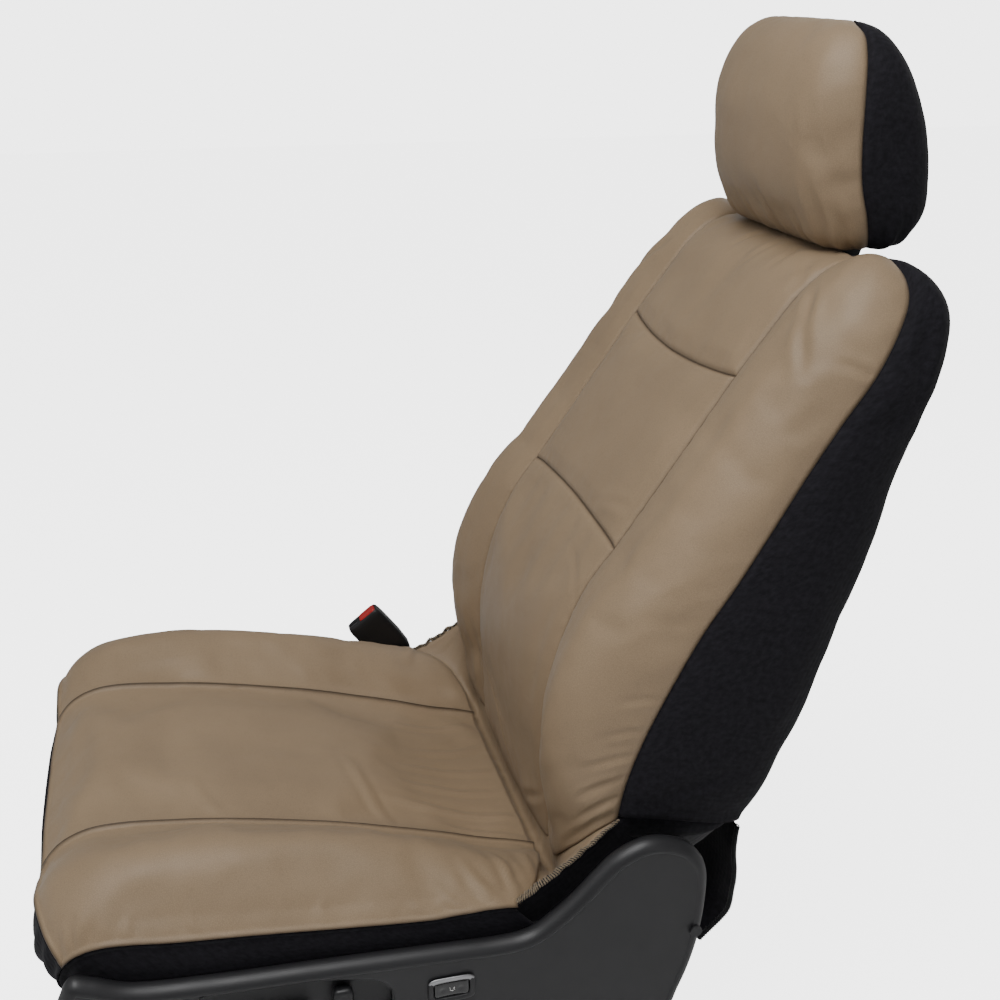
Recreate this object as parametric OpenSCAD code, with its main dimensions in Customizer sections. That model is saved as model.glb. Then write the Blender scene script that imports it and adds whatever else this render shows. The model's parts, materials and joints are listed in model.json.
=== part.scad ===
// Front seat with a fitted two-tone seat cover set. Millimetres.
// X runs across the seat, the seat faces -Y, Z is up, and the floor is Z = 0.

/* [Seat] */
// Height of the crease between backrest and cushion above the floor
crease_h = 300; // [280:1:330]
// Distance between the two slide rails
rail_gap = 400; // [390:1:410]
// Length of a floor rail
rail_len = 460; // [440:1:480]

/* [Headrest] */
// Diameter of a headrest post
post_d = 12; // [10:0.5:13]
// Distance between the headrest posts
post_gap = 130; // [110:1:140]
// Radial clearance of a post in its guide
post_play = 0.05; // [0.02:0.01:0.1]

/* [Cover] */
// Thickness of a cover panel with its foam backing
cover_t = 3; // [2:0.5:4]
// Half distance between the two long seams
seam_x = 135; // [125:1:140]
// Width of an under-seat strap
strap_w = 25; // [20:1:30]

/* [Mounting] */
// Hole radius in the rail feet
foot_hole_r = 5.5; // [4.5:0.5:6.5]

/* [Hidden] */
$fn = 48;
gap = 0.5;
beige = [0.55, 0.49, 0.41];
black = [0.1, 0.1, 0.11];
// recliner pivot, from the crease
py = 80;
pz = 30;
// seat shift that puts the middle of the part at Y = 0
seat_y = 56;

function lerp(a, b, f) = a + (b - a) * f;
// smooth curve through a list at position t
function cr(p, t) =
  let(n = len(p) - 1, i = min(max(floor(t), 0), n - 1), f = t - i)
  let(a = p[max(i - 1, 0)], b = p[i], c = p[i + 1], d = p[min(i + 2, n)])
  0.5 * (2 * b + (c - a) * f + (2 * a - 5 * b + 4 * c - d) * f * f
    + (3 * b - a - 3 * c + d) * f * f * f);

// backrest stations, bottom to top:
// front y, z, rear y, z, half width, bolster lead, side seam depth share
bk = [
  [4, -8, 136, 36, 226, 0, 0.16],
  [-1, 30, 166, 58, 238, 5, 0.17],
  [-3, 85, 194, 92, 247, 12, 0.19],
  [-6, 140, 214, 133, 254, 18, 0.21],
  [-4, 192, 236, 183, 257, 17, 0.25],
  [8, 245, 255, 234, 258, 13, 0.29],
  [32, 300, 272, 284, 257, 8, 0.32],
  [65, 345, 286, 330, 255, 4, 0.34],
  [99, 393, 299, 376, 252, 1, 0.36],
  [135, 445, 311, 420, 249, 0, 0.38],
  [168, 493, 326, 462, 246, 0, 0.41],
  [200, 536, 340, 502, 243, 0, 0.45],
  [228, 572, 350, 541, 235, 0, 0.47],
  [250, 596, 352, 570, 223, 0, 0.48],
  [268, 610, 342, 592, 205, 0, 0.49],
  [283, 617, 324, 606, 184, 0, 0.5],
  [298, 618, 304, 614, 162, 0, 0.5]
];
// cushion stations, crease to nose:
// top y, z, bottom y, z, half width, bolster rise, side seam depth share
cu = [
  [-14, 4, -22, -34, 244, 14, -0.1],
  [-38, 12, -42, -36, 252, 24, -0.25],
  [-74, 22, -76, -37, 258, 31, -0.26],
  [-115, 36, -116, -38, 261, 33, -0.08],
  [-155, 48, -156, -38, 262, 34, 0.06],
  [-222, 67, -220, -38, 263, 34, 0.16],
  [-319, 88, -310, -38, 264, 31, 0.21],
  [-380, 97, -370, -38, 264, 26, 0.22],
  [-418, 101, -405, -38, 263, 20, 0.21],
  [-446, 100, -420, -36, 261, 15, 0.21],
  [-468, 92, -428, -32, 257, 11, 0.23],
  [-483, 78, -434, -26, 251, 8, 0.27],
  [-493, 58, -438, -18, 243, 5, 0.33],
  [-497, 34, -440, -10, 233, 2, 0.4],
  [-494, 12, -444, -3, 220, 0, 0.45],
  [-484, -2, -456, 2, 204, 0, 0.5]
];
// headrest stations, bottom to top: front y, z, rear y, z, half width, unused, side seam depth share
hr = [
  [304, 615, 332, 617, 96, 0, 0.42],
  [284, 614, 352, 616, 112, 0, 0.42],
  [263, 624, 369, 622, 124, 0, 0.42],
  [249, 644, 385, 640, 130, 0, 0.38],
  [240, 672, 385, 668, 132, 0, 0.36],
  [237, 705, 379, 701, 133, 0, 0.36],
  [237, 735, 370, 732, 132, 0, 0.38],
  [243, 762, 357, 760, 128, 0, 0.4],
  [254, 786, 341, 784, 119, 0, 0.43],
  [270, 804, 323, 801, 104, 0, 0.46],
  [292, 813, 299, 811.5, 80, 0, 0.48]
];

// half ring of a backrest section: [x, depth share, lead]
function bk_ring(a, w, d) = let(s = min(seam_x, a * 0.82)) [
  [0, -0.02], [s * 0.5, -0.015], [s, 0],
  [lerp(s, a, 0.3), -0.7 * d], [lerp(s, a, 0.55), -d],
  [lerp(s, a, 0.82), lerp(-d, w, 0.32)], [a * 0.985, w],
  [a, lerp(w, 0.9, 0.4)], [a * 0.975, 0.84], [a * 0.86, 0.965], [a * 0.5, 1.01], [0, 1.03]
];
function cu_ring(a, w, d) = let(s = min(seam_x, a * 0.62)) [
  [0, -0.05], [s * 0.5, -0.04], [s, 0],
  [lerp(s, a, 0.3), -0.75 * d], [lerp(s, a, 0.58), -d],
  [lerp(s, a, 0.86), lerp(-d, w, 0.38)], [a, w],
  [a * 1.0, lerp(w, 0.95, 0.5)], [a * 0.985, 0.9], [a * 0.93, 0.99], [a * 0.5, 1], [0, 1]
];
function hr_ring(a, w) = [
  [0, 0], [a * 0.45, 0.012], [a * 0.78, 0.07],
  [a * 0.93, lerp(0.1, w, 0.45)], [a, w], [a, lerp(w, 0.8, 0.5)], [a * 0.93, 0.8], [a * 0.74, 0.94],
  [a * 0.4, 1], [0, 1.01]
];

// dip in the middle of the backrest top, where the headrest sits
function dip(s, x) =
  let(f = min(max((s - 12) / 3, 0), 1), g = min(max((abs(x) - 122) / 62, 0), 1))
  -13 * f * (1 - g * g * (3 - 2 * g));

// a point on a body: 0 backrest, 1 cushion, 2 headrest; station, ring position, inset
function pt(b, s, t, o) =
  let(q = cr(b == 0 ? bk : b == 1 ? cu : hr, s), dep = norm([q[2] - q[0], q[3] - q[1]]))
  let(k = min(o / dep, 0.45), d = q[5] / dep)
  let(h = b == 0 ? bk_ring(q[4], q[6], d) : b == 1 ? cu_ring(q[4], q[6], d) : hr_ring(q[4], q[6]))
  let(n = len(h) - 1, u = t > n ? t - 2 * n : t, m = cr(h, abs(u)), w = lerp(k, 1 - k, m[1]))
  let(x = sign(u) * m[0] * (q[4] - o) / q[4])
  [x, lerp(q[0], q[2], w), lerp(q[1], q[3], w) + (b == 0 ? dip(s, x) : 0)];

// lower edge of the cover, as a station, at ring position t
bk_edge = [0.6, 0.6, 0.6, 0.75, 1.15, 1.75, 2.35, 2.15, 1.6, 1.4, 1.4, 1.4];
cu_edge = [0.15, 0.15, 0.15, 0.4, 0.8, 1.3, 1.85, 0.9, 0.6, 0.5, 0.5, 0.5];
// front edge of the beige cushion panels
cu_nose = [11.7, 11.7, 11.65, 11.5, 11.3, 11.1, 10.9, 11, 11.2, 11.4, 11.5, 11.6];
function au(b, t) = let(n = b == 2 ? 9 : 11) t > n ? 2 * n - t : abs(t);
function lowS(b, t) = b == 0 ? cr(bk_edge, au(b, t)) : b == 1 ? cr(cu_edge, au(b, t)) : 0;
// station of grid row j at ring position t; rows -2 and -1 lie below the cover
function row(b, j, t) = let(c = max(0, 1 - pow(au(b, t) / 2, 2)))
  b == 2 ? j
  : j == -2 ? 0
  : j == -1 ? lowS(b, t) * (b == 0 ? 0.8 : 0.5)
  : b == 0 ? (j <= 8 ? lerp(lowS(0, t), 6.85 + 0.18 * c, j / 8)
    : j <= 12 ? lerp(6.85 + 0.18 * c, 10.2 - 0.22 * c, (j - 8) / 4)
    : lerp(10.2 - 0.22 * c, 16, (j - 12) / 7))
  : (j <= 12 ? lerp(lowS(1, t), cr(cu_nose, au(1, t)), j / 12)
    : lerp(cr(cu_nose, au(1, t)), 15, (j - 12) / 4));

function quad(a, b, c, d) = [[a, b, c], [a, c, d]];
// outer and inner faces of a grid cell, mirrored left to right
function cell(a, b, c, d, p) = p ? [[a, b, c], [a, c, d]] : [[a, b, d], [b, c, d]];
function back(a, b, c, d, p) = p ? [[a, c, b], [a, d, c]] : [[a, d, b], [b, d, c]];
function flat1(l) = [for (a = l) for (b = a) b];

// closed soft core with the same facets as the covers
module core(b, rows, o) {
  n = b == 2 ? 9 : 11;
  ts = [for (i = [0 : 4 * n - 1]) i / 2];
  m = len(ts);
  r = len(rows);
  ring = [for (j = rows) for (t = ts) pt(b, row(b, j, t), t, o)];
  e0 = [for (i = [0 : m - 1]) ring[i]];
  e1 = [for (i = [0 : m - 1]) ring[(r - 1) * m + i]];
  one = [for (i = [0 : m - 1]) 1];
  body = flat1([for (j = [0 : r - 2]) for (i = [0 : m - 1])
    cell(j * m + i, j * m + (i + 1) % m, (j + 1) * m + (i + 1) % m, (j + 1) * m + i, i < 2 * n)]);
  cap0 = [for (i = [0 : m - 1]) [r * m, (i + 1) % m, i]];
  cap1 = [for (i = [0 : m - 1]) [r * m + 1, (r - 1) * m + i, (r - 1) * m + (i + 1) % m]];
  polyhedron(concat(ring, [one * e0 / m, one * e1 / m]), concat(body, cap0, cap1));
}

// cover panel between ring positions t0 and t1, over the given rows
module panel(b, t0, t1, rows, o0, o1) {
  k = round((t1 - t0) * 2);
  n = b == 2 ? 9 : 11;
  r = len(rows);
  m = k + 1;
  g = r * m;
  ts = [for (i = [0 : k]) t0 + i / 2];
  pts = concat([for (j = rows) for (t = ts) pt(b, row(b, j, t), t, o0)],
    [for (j = rows) for (t = ts) pt(b, row(b, j, t), t, o1)]);
  top = flat1([for (j = [0 : r - 2]) for (i = [0 : k - 1])
    let(u = ts[i] + 0.25)
    cell(j * m + i, j * m + i + 1, (j + 1) * m + i + 1, (j + 1) * m + i, u > 0 && u < n)]);
  bot = flat1([for (j = [0 : r - 2]) for (i = [0 : k - 1])
    let(u = ts[i] + 0.25, a = g + j * m + i)
    back(a, a + 1, a + m + 1, a + m, u > 0 && u < n)]);
  s0 = flat1([for (i = [0 : k - 1]) quad(i, g + i, g + i + 1, i + 1)]);
  s1 = flat1([for (i = [0 : k - 1]) let(a = (r - 1) * m + i) quad(a, a + 1, g + a + 1, g + a)]);
  s2 = flat1([for (j = [0 : r - 2]) let(a = j * m) quad(a, a + m, g + a + m, g + a)]);
  s3 = flat1([for (j = [0 : r - 2]) let(a = j * m + k) quad(a, g + a, g + a + m, a + m)]);
  polyhedron(pts, concat(top, bot, s0, s1, s2, s3));
}

// small tube along points
module tube(p, r, sides) {
  n = len(p);
  ring = [for (i = [0 : n - 1])
    let(a = p[max(i - 1, 0)], c = p[min(i + 1, n - 1)], d = (c - a) / norm(c - a))
    let(u0 = cross(d, [0.13, 0.2, 1]), u = u0 / norm(u0), v = cross(d, u))
    for (k = [0 : sides - 1]) p[i] + r * (cos(360 * k / sides) * u + sin(360 * k / sides) * v)];
  body = flat1([for (i = [0 : n - 2]) for (k = [0 : sides - 1])
    quad(i * sides + k, (i + 1) * sides + k, (i + 1) * sides + (k + 1) % sides, i * sides + (k + 1) % sides)]);
  c0 = [[for (k = [0 : sides - 1]) k]];
  c1 = [[for (k = [sides - 1 : -1 : 0]) (n - 1) * sides + k]];
  polyhedron(ring, concat(body, c0, c1));
}

module world() {
  translate([0, seat_y, crease_h]) children();
}

bk_rows = [for (j = [0 : 19]) j];
cu_rows = [for (j = [0 : 16]) j];
hr_rows = [for (j = [1 : 10]) j];

// headrest slide frame, tilted back
tilt = 20;
module post_frame() {
  translate([0, 312, 604]) rotate([-tilt, 0, 0]) children();
}
module post_bend(r) {
  translate([post_gap / 2 - 20, 0, 85]) rotate([90, 0, 0]) rotate_extrude(angle = 90) translate([20, 0]) circle(r = r);
  translate([-post_gap / 2 + 20, 0, 85]) rotate([90, 0, 180])
    rotate_extrude(angle = 90) translate([20, 0]) circle(r = r);
  translate([-post_gap / 2 + 20, 0, 105]) rotate([0, 90, 0]) cylinder(r = r, h = post_gap - 40);
}
module post_set(r) {
  for (x = [-1, 1]) translate([x * post_gap / 2, 0, -150]) cylinder(r = r, h = 235);
  post_bend(r);
}
module guide_holes() {
  post_frame() for (x = [-1, 1]) translate([x * post_gap / 2, 0, 0]) {
    translate([0, 0, -92]) cylinder(r = 12.3, h = 92);
    translate([0, 0, -160]) cylinder(r = post_d / 2 + 1, h = 80);
    translate([-17.3, -13.3, -6]) cube([34.6, 26.6, 40]);
  }
}

module headrest_posts() { color([0.75, 0.75, 0.77]) world() post_frame() post_set(post_d / 2); }
module headrest_foam() {
  color([0.85, 0.8, 0.6]) world() difference() {
    core(2, [for (j = [2 : 9]) j], cover_t + gap);
    post_frame() post_set(post_d / 2 + 0.3);
  }
}
module headrest_cover_front() { color(beige) world() panel(2, -4, 4, hr_rows, 0, cover_t); }
module headrest_cover_back() { color(black) world() panel(2, 4, 14, hr_rows, 0, cover_t); }
module headrest_cover_closure() {
  color(black) world() difference() {
    translate([-88, 296, 614.6]) cube([176, 44, 1.6]);
    post_frame() for (x = [-1, 1]) translate([x * post_gap / 2, 0, -20]) cylinder(r = post_d / 2 + 1.5, h = 60);
  }
}
module headrest_cover_grip_strip() { color(black) world() translate([-40, 302, 613]) cube([80, 18, 1.5]); }

module back_foam() {
  color([0.85, 0.8, 0.6]) world() difference() {
    core(0, concat([-2, -1], bk_rows), cover_t + gap);
    guide_holes();
    back_tubes(0.3);
  }
}
// hoop of straight tubes inside the foam
module back_tubes(e) {
  translate([-265, 100, 54]) rotate([0, 90, 0]) cylinder(r = 11 + e, h = 530);
  for (x = [-1, 1]) translate([x * 185, 87.3, 48.8]) rotate([-19.5, 0, 0]) cylinder(r = 11 + e, h = 484);
  translate([-200 - e, 253.1, 504.5]) rotate([0, 90, 0]) cylinder(r = 9 + e, h = 400 + 2 * e);
}
module back_frame_uprights() { color([0.2, 0.2, 0.22]) world() for (x = [-1, 1]) upright(x); }
module upright(x) {
  difference() {
    translate([x * 185, 87.3, 48.8]) rotate([-19.5, 0, 0]) cylinder(r = 11, h = 484);
    translate([-200, 253.1, 504.5]) rotate([0, 90, 0]) cylinder(r = 9.2, h = 400);
    translate([-270, 100, 54]) rotate([0, 90, 0]) cylinder(r = 11.2, h = 540);
  }
}
module back_frame_top_tube() {
  color([0.2, 0.2, 0.22]) world() translate([-200, 253.1, 504.5]) rotate([0, 90, 0]) cylinder(r = 9, h = 400);
}
module back_frame_lower_tube() {
  color([0.2, 0.2, 0.22]) world() translate([-262, 100, 54]) rotate([0, 90, 0]) cylinder(r = 11, h = 524);
}

module guide_tube(x) {
  color([0.2, 0.2, 0.22]) world() post_frame() translate([x * post_gap / 2, 0, -90]) difference() {
    cylinder(r = 12, h = 80);
    translate([0, 0, -1]) cylinder(r = 9.1, h = 82);
  }
}
module guide_tubes() { for (x = [-1, 1]) guide_tube(x); }
// plastic guide with a square head on the cover
module guide(x) {
  color([0.16, 0.16, 0.17]) world() post_frame() translate([x * post_gap / 2, 0, 0]) difference() {
    union() {
      translate([0, 0, -90]) cylinder(r = 9, h = 87);
      translate([-17, -13, -5]) cube([34, 26, 9]);
    }
    translate([0, 0, -91]) cylinder(r = post_d / 2 + post_play, h = 100);
    if (x > 0) translate([9.5, -6.2, -2]) cube([10, 12.4, 4.4]);
  }
}
module post_guide_left() { guide(1); }
module post_guide_right() { guide(-1); }
module post_lock_button() {
  color([0.2, 0.2, 0.21]) world() post_frame() translate([post_gap / 2 + 13, -5.9, -1.8]) cube([7, 11.8, 4]);
}

module back_cover_lower_panel() { color(beige) world() panel(0, -2, 2, [for (j = [0 : 8]) j], 0, cover_t); }
module back_cover_middle_panel() { color(beige) world() panel(0, -2, 2, [for (j = [8 : 12]) j], 0, cover_t); }
module back_cover_upper_panel() {
  color(beige) world() difference() {
    panel(0, -2, 2, [for (j = [12 : 19]) j], 0, cover_t);
    guide_holes();
  }
}
module back_cover_bolster_left() { color(beige) world() panel(0, 2, 6, bk_rows, 0, cover_t); }
module back_cover_bolster_right() { color(beige) world() panel(0, -6, -2, bk_rows, 0, cover_t); }
module back_cover_rear() {
  color(black) world() difference() {
    panel(0, 6, 16, bk_rows, 0, cover_t);
    guide_holes();
  }
}
module back_cover_hem() { color(black) world() panel(0, 6, 16, [-1, 0], 0, cover_t); }
module serge(b, t0, t1, j, lift) {
  tube([for (i = [0 : 12]) let(t = t0 + (t1 - t0) * i / 12) pt(b, row(b, j, t), t, lift)], 1.4, 6);
}
module back_cover_serged_edges() {
  color(beige) world() {
    serge(0, 2.2, 5.95, 0, -2.4);
    serge(0, -5.95, -2.2, 0, -2.4);
  }
}
module back_cover_post_binding() {
  color(black) world() post_frame() for (x = [-1, 1]) translate([x * post_gap / 2, 0, 4.2]) difference() {
    cylinder(r = 12, h = 1.2);
    translate([0, 0, -1]) cylinder(r = post_d / 2 + 1, h = 4);
  }
}
module back_cover_flap() {
  color(black) world() translate([-222, 0, 0]) rotate([90, 0, 90])
    linear_extrude(444) polygon([[172, 56], [174, 56], [172.5, 30], [174, -8], [169, -44], [140, -76],
      [138.5, -74.7], [167.2, -43.3], [172, -8], [170.5, 30]]);
  // sewn bead that the flap turns on
  color(black) world() translate([-222, 173, 56]) rotate([0, 90, 0]) cylinder(r = 2.2, h = 444);
}
module back_cover_flap_grip_strips() {
  color([0.13, 0.13, 0.14]) world() for (x = [-160, -30, 100]) translate([x, 0, 0]) rotate([90, 0, 90])
    linear_extrude(60) polygon([[162.9, -47.5], [144.1, -68.1], [143.2, -67.3], [162, -46.7]]);
}

module cushion_foam() {
  color([0.85, 0.8, 0.6]) world() core(1, cu_rows, cover_t + gap);
}
module cushion_cover_centre() { color(beige) world() panel(1, -2, 2, [for (j = [0 : 12]) j], 0, cover_t); }
module cushion_cover_bolster_left() { color(beige) world() panel(1, 2, 6, [for (j = [0 : 12]) j], 0, cover_t); }
module cushion_cover_bolster_right() { color(beige) world() panel(1, -6, -2, [for (j = [0 : 12]) j], 0, cover_t); }
module cushion_cover_front_band() { color(black) world() panel(1, -6, 6, [for (j = [12 : 16]) j], 0, cover_t); }
module cushion_cover_side_skirts() {
  color(black) world() {
    panel(1, 6, 9, cu_rows, 0, cover_t);
    panel(1, -9, -6, cu_rows, 0, cover_t);
  }
}
module cushion_cover_serged_edges() {
  color(beige) world() {
    serge(1, 2.2, 5.95, 0, -2.4);
    serge(1, -5.95, -2.2, 0, -2.4);
  }
}
module cushion_cover_elastic_cord() {
  color([0.85, 0.85, 0.85]) world()
    for (x = [-1, 1]) tube([for (j = [0.5 : 0.5 : 10.5]) pt(1, row(1, j, 9.25), 9.25 * x, 0.4)], 1.2, 6);
}
module cushion_cover_crease_strip() {
  color(beige) world() translate([-215, 0, 0]) rotate([90, 0, 90]) linear_extrude(430)
    polygon([[-10.4, 1], [-9.4, 1], [-9.4, -30], [-5, -30], [-3.4, 0], [-2.6, -0.2], [-4, -31.2], [-10.4, -31.2]]);
}
module cushion_cover_straps() {
  color([0.12, 0.12, 0.13]) world() for (x = [-120, 120]) translate([x - strap_w / 2, 0, 0])
    rotate([90, 0, 90]) linear_extrude(strap_w)
      polygon([[-462, -3], [-459, -3], [-444, -75], [-30, -75], [-20, -47], [-18, -47.8], [-28.6, -76.6],
        [-445.4, -76.6]]);
}
module cushion_cover_strap_adjusters() {
  color([0.15, 0.15, 0.16]) world() for (x = [-120, 120]) translate([x, -300, -75.8]) difference() {
    translate([-18, -14, -4]) cube([36, 28, 8]);
    translate([-13, -20, -0.9]) cube([26, 40, 1.8]);
  }
}
module cushion_cover_strap_hooks() {
  color([0.7, 0.7, 0.72]) world() for (x = [-120, 120]) translate([x, -23, -46.8]) {
    translate([-15, -0.2, 0]) cube([30, 6, 3]);
    translate([-15, 5.8, 0]) cube([30, 2.5, 14]);
  }
}

// structure
module cushion_pan() {
  color([0.2, 0.2, 0.22]) world() difference() {
    translate([-232, -436, -43.8]) cube([464, 408, 5]);
    for (y = [-340, -200]) translate([-60, y, -50]) cube([120, 90, 20]);
  }
}
module cross_tube(y) {
  color([0.2, 0.2, 0.22]) world() translate([-263.9, y, -58]) rotate([0, 90, 0]) cylinder(r = 14, h = 527.8);
}
module cross_tubes() { for (y = [-400, -62]) cross_tube(y); }
// upright side plate of the seat frame, carrying the recliner
module side_plate(x) {
  color([0.2, 0.2, 0.22]) world() translate([x > 0 ? 264 : -268, 0, 0]) rotate([90, 0, 90])
    difference() {
      linear_extrude(4) union() {
        polygon([[-430, -40], [-430, -84], [-20, -84], [70, -60], [112, 4], [100, 60], [56, 60], [20, -10]]);
        translate([py, pz]) circle(r = 35);
      }
      translate([py, pz, -1]) cylinder(r = 8.05, h = 6);
      if (x > 0) translate([-120, -56, -1]) cylinder(r = 3.2, h = 6);
    }
}
module frame_sides() { for (x = [-1, 1]) side_plate(x); }
module recliner(x) {
  color([0.6, 0.6, 0.62]) world() translate([x > 0 ? 268.1 : -273.1, py, pz]) rotate([0, 90, 0]) difference() {
    cylinder(r = 31, h = 5);
    translate([0, 0, -1]) cylinder(r = 8.05, h = 7);
    for (a = [0 : 60 : 300]) rotate([0, 0, a]) translate([24, 0, x > 0 ? 3 : -1]) cylinder(r = 4, h = 3);
  }
}
module recliner_discs() { for (x = [-1, 1]) recliner(x); }
module arm(x) {
  color([0.2, 0.2, 0.22]) world() translate([x > 0 ? 259.5 : -263.5, 0, 0]) rotate([90, 0, 90]) difference() {
    linear_extrude(4) union() {
      translate([py, pz]) circle(r = 26);
      translate([100, 54]) circle(r = 18);
      polygon([[58.1, 44], [85, 64], [117, 47], [102, 16]]);
    }
    translate([py, pz, -1]) cylinder(r = 8, h = 6);
    translate([100, 54, -1]) cylinder(r = 11.02, h = 6);
  }
}
module recliner_arms() { for (x = [-1, 1]) arm(x); }
module recliner_pin(x) {
  color([0.6, 0.6, 0.62]) world() translate([x > 0 ? 258.5 : -275.5, py, pz]) rotate([0, 90, 0]) cylinder(r = 8, h = 17);
}
module recliner_pins() { for (x = [-1, 1]) recliner_pin(x); }

module riser(x) {
  color([0.2, 0.2, 0.22]) world() translate([x * rail_gap / 2 - 2.5, 0, 0]) rotate([90, 0, 90]) difference() {
    linear_extrude(5) polygon([[-430, -44], [-430, -90], [-360, -249.9], [-20, -249.9], [-30, -90], [-40, -44],
      [-84, -44], [-90, -84], [-150, -190], [-290, -190], [-370, -84], [-372, -44]]);
    for (y = [-400, -62]) translate([y, -58, -1]) cylinder(r = 14.02, h = 7);
  }
}
module risers() { for (x = [-1, 1]) riser(x); }
module rail_upper(x) {
  color([0.55, 0.55, 0.57]) world() translate([x * rail_gap / 2, 20, 0]) rotate([90, 0, 0])
    linear_extrude(400) polygon([[-20, -250], [20, -250], [20, -254], [6, -254], [6, -276],
      [19, -276], [19, -286], [-19, -286], [-19, -276], [-6, -276], [-6, -254], [-20, -254]]);
}
module rails_upper() { for (x = [-1, 1]) rail_upper(x); }
module rail_lower(x) {
  color([0.25, 0.25, 0.27]) world() translate([x * rail_gap / 2, -180, 0]) {
    translate([0, rail_len / 2, 0]) rotate([90, 0, 0]) linear_extrude(rail_len)
      polygon([[-26, -292], [26, -292], [26, -264], [8, -264], [8, -274], [11, -274], [11, -267.5], [22.5, -267.5],
        [22.5, -288.5], [-22.5, -288.5], [-22.5, -267.5], [-11, -267.5], [-11, -274], [-8, -274], [-8, -264],
        [-26, -264]]);
    for (y = [-1, 1]) difference() {
      translate([-26, y > 0 ? rail_len / 2 - 60 : -rail_len / 2 - 40, -300]) cube([52, 100, 8.2]);
      translate([0, y * (rail_len / 2 + 20), -301]) cylinder(r = foot_hole_r, h = 12);
    }
  }
}
module rail_lower_left() { rail_lower(1); }
module rail_lower_right() { rail_lower(-1); }
module rail_bolts() {
  color([0.65, 0.65, 0.67]) world() for (x = [-1, 1]) for (y = [-330, -50]) translate([x * rail_gap / 2 - x * 12, y, -250])
    cylinder(r = 5, h = 4, $fn = 6);
}

// side shields
function unit(v) = v / norm(v);
function inset(p, d) = let(n = len(p)) [for (i = [0 : n - 1])
  let(a = unit(p[i] - p[(i + n - 1) % n]), b = unit(p[(i + 1) % n] - p[i]), m = unit(a + b))
  p[i] + [-m[1], m[0]] * d / max(0.5, m * a)];
shield_l = [[-478, 18], [-474, 42], [-464, 55], [-446, 50], [-412, 37], [-342, 31], [-272, 28], [-187, 24],
  [-130, 21], [-90, 19], [-60, 22], [-36, 37], [-14, 56], [4, 75], [24, 93], [53, 104], [82, 99],
  [103, 84], [116, 53], [112, -12], [95, -72], [70, -112], [-20, -128],
  [-273, -133], [-430, -110], [-466, -58]];
// opening of the switch recess
recess = [[-366, 8], [-354, 17], [-300, 16], [-262, 14], [-222, 7], [-202, 1], [-191, -12], [-190, -38],
  [-200, -50], [-350, -50], [-364, -38]];
shield_r = [[-470, -20], [-464, 6], [-440, 12], [-300, 4], [-180, -2], [-176, -90], [-430, -92], [-462, -66]];
module shell_part(p, x, w, t) {
  translate([x, 0, 0]) rotate([90, 0, 90]) difference() {
    linear_extrude(w) polygon(p);
    translate([0, 0, -1]) linear_extrude(w - t + 1) polygon(inset(p, -t));
  }
}
module side_shield_left() {
  color([0.18, 0.18, 0.19]) world() difference() {
    shell_part(shield_l, 269.5, 17.5, 3);
    translate([280, -155.2, -31.2]) cube([10, 38.4, 22.4]);
    translate([280, 0, 0]) rotate([90, 0, 90]) linear_extrude(10) polygon(recess);
    for (q = [[-440, -60], [-30, -100], [104, -4]]) translate([280, q[0], q[1]]) rotate([0, 90, 0]) cylinder(r = 3.1, h = 10);
  }
}
module side_shield_right() {
  color([0.18, 0.18, 0.19]) world() mirror([1, 0, 0]) difference() {
    shell_part(shield_r, 269.5, 15.5, 3);
    for (q = [[-440, -50], [-200, -60]]) translate([278, q[0], q[1]]) rotate([0, 90, 0]) cylinder(r = 3.1, h = 10);
  }
}
module shield_screws() {
  color([0.15, 0.15, 0.16]) world() {
    for (q = [[-440, -60], [-30, -100], [104, -4]]) translate([268.5, q[0], q[1]]) rotate([0, 90, 0]) {
      cylinder(r = 3, h = 18.7);
      translate([0, 0, 18.7]) cylinder(r = 6, h = 1.8);
    }
    for (q = [[-440, -50], [-200, -60]]) translate([-268.5, q[0], q[1]]) rotate([0, -90, 0]) {
      cylinder(r = 3, h = 16.7);
      translate([0, 0, 16.7]) cylinder(r = 6, h = 1.8);
    }
  }
}
module lumbar_switch_bezel() {
  color([0.8, 0.8, 0.82]) world() difference() {
    union() {
      translate([282, -155, -31]) cube([5.2, 38, 22]);
      translate([287.1, -158, -34]) cube([1.6, 44, 28]);
    }
    translate([280, -153, -29]) cube([12, 34, 18]);
    translate([284.3, -136, -36]) cylinder(r = 1.55, h = 32);
  }
}
module lumbar_rocker() {
  color([0.05, 0.05, 0.06]) world() {
    difference() {
      translate([283, -152, -28.4]) cube([6.4, 32, 16.8]);
      for (s = [-1, 1]) translate([283, -136 + s * 16.5, -36]) rotate([0, 0, s * 14]) translate([-9, -8, 0]) cube([9, 16, 30]);
    }
    translate([284.3, -136, -30.4]) cylinder(r = 1.5, h = 20.8);
  }
}
module seat_switch_housing() {
  color([0.1, 0.1, 0.11]) world() difference() {
    translate([271, 0, 0]) rotate([90, 0, 90]) linear_extrude(12.9) polygon(inset(recess, 2.6));
    translate([273.5, 0, 0]) rotate([90, 0, 90]) linear_extrude(12) polygon(recess);
    translate([270, -316, -30]) cube([5, 22, 10]);
    translate([270, -235.5, -18]) rotate([0, 90, 0]) cylinder(r = 5.1, h = 5);
  }
}
module seat_switch_bar() {
  color([0.13, 0.13, 0.14]) world() {
    translate([269.8, -311, -29]) cube([9.4, 12, 8]);
    translate([279, -345, -32]) cube([9, 80, 14]);
  }
}
module backrest_switch_knob() {
  color([0.13, 0.13, 0.14]) world() {
    translate([269.8, -235.5, -18]) rotate([0, 90, 0]) cylinder(r = 5, h = 9.4);
    translate([279, -245, -36]) cube([9.5, 19, 36]);
  }
}

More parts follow.
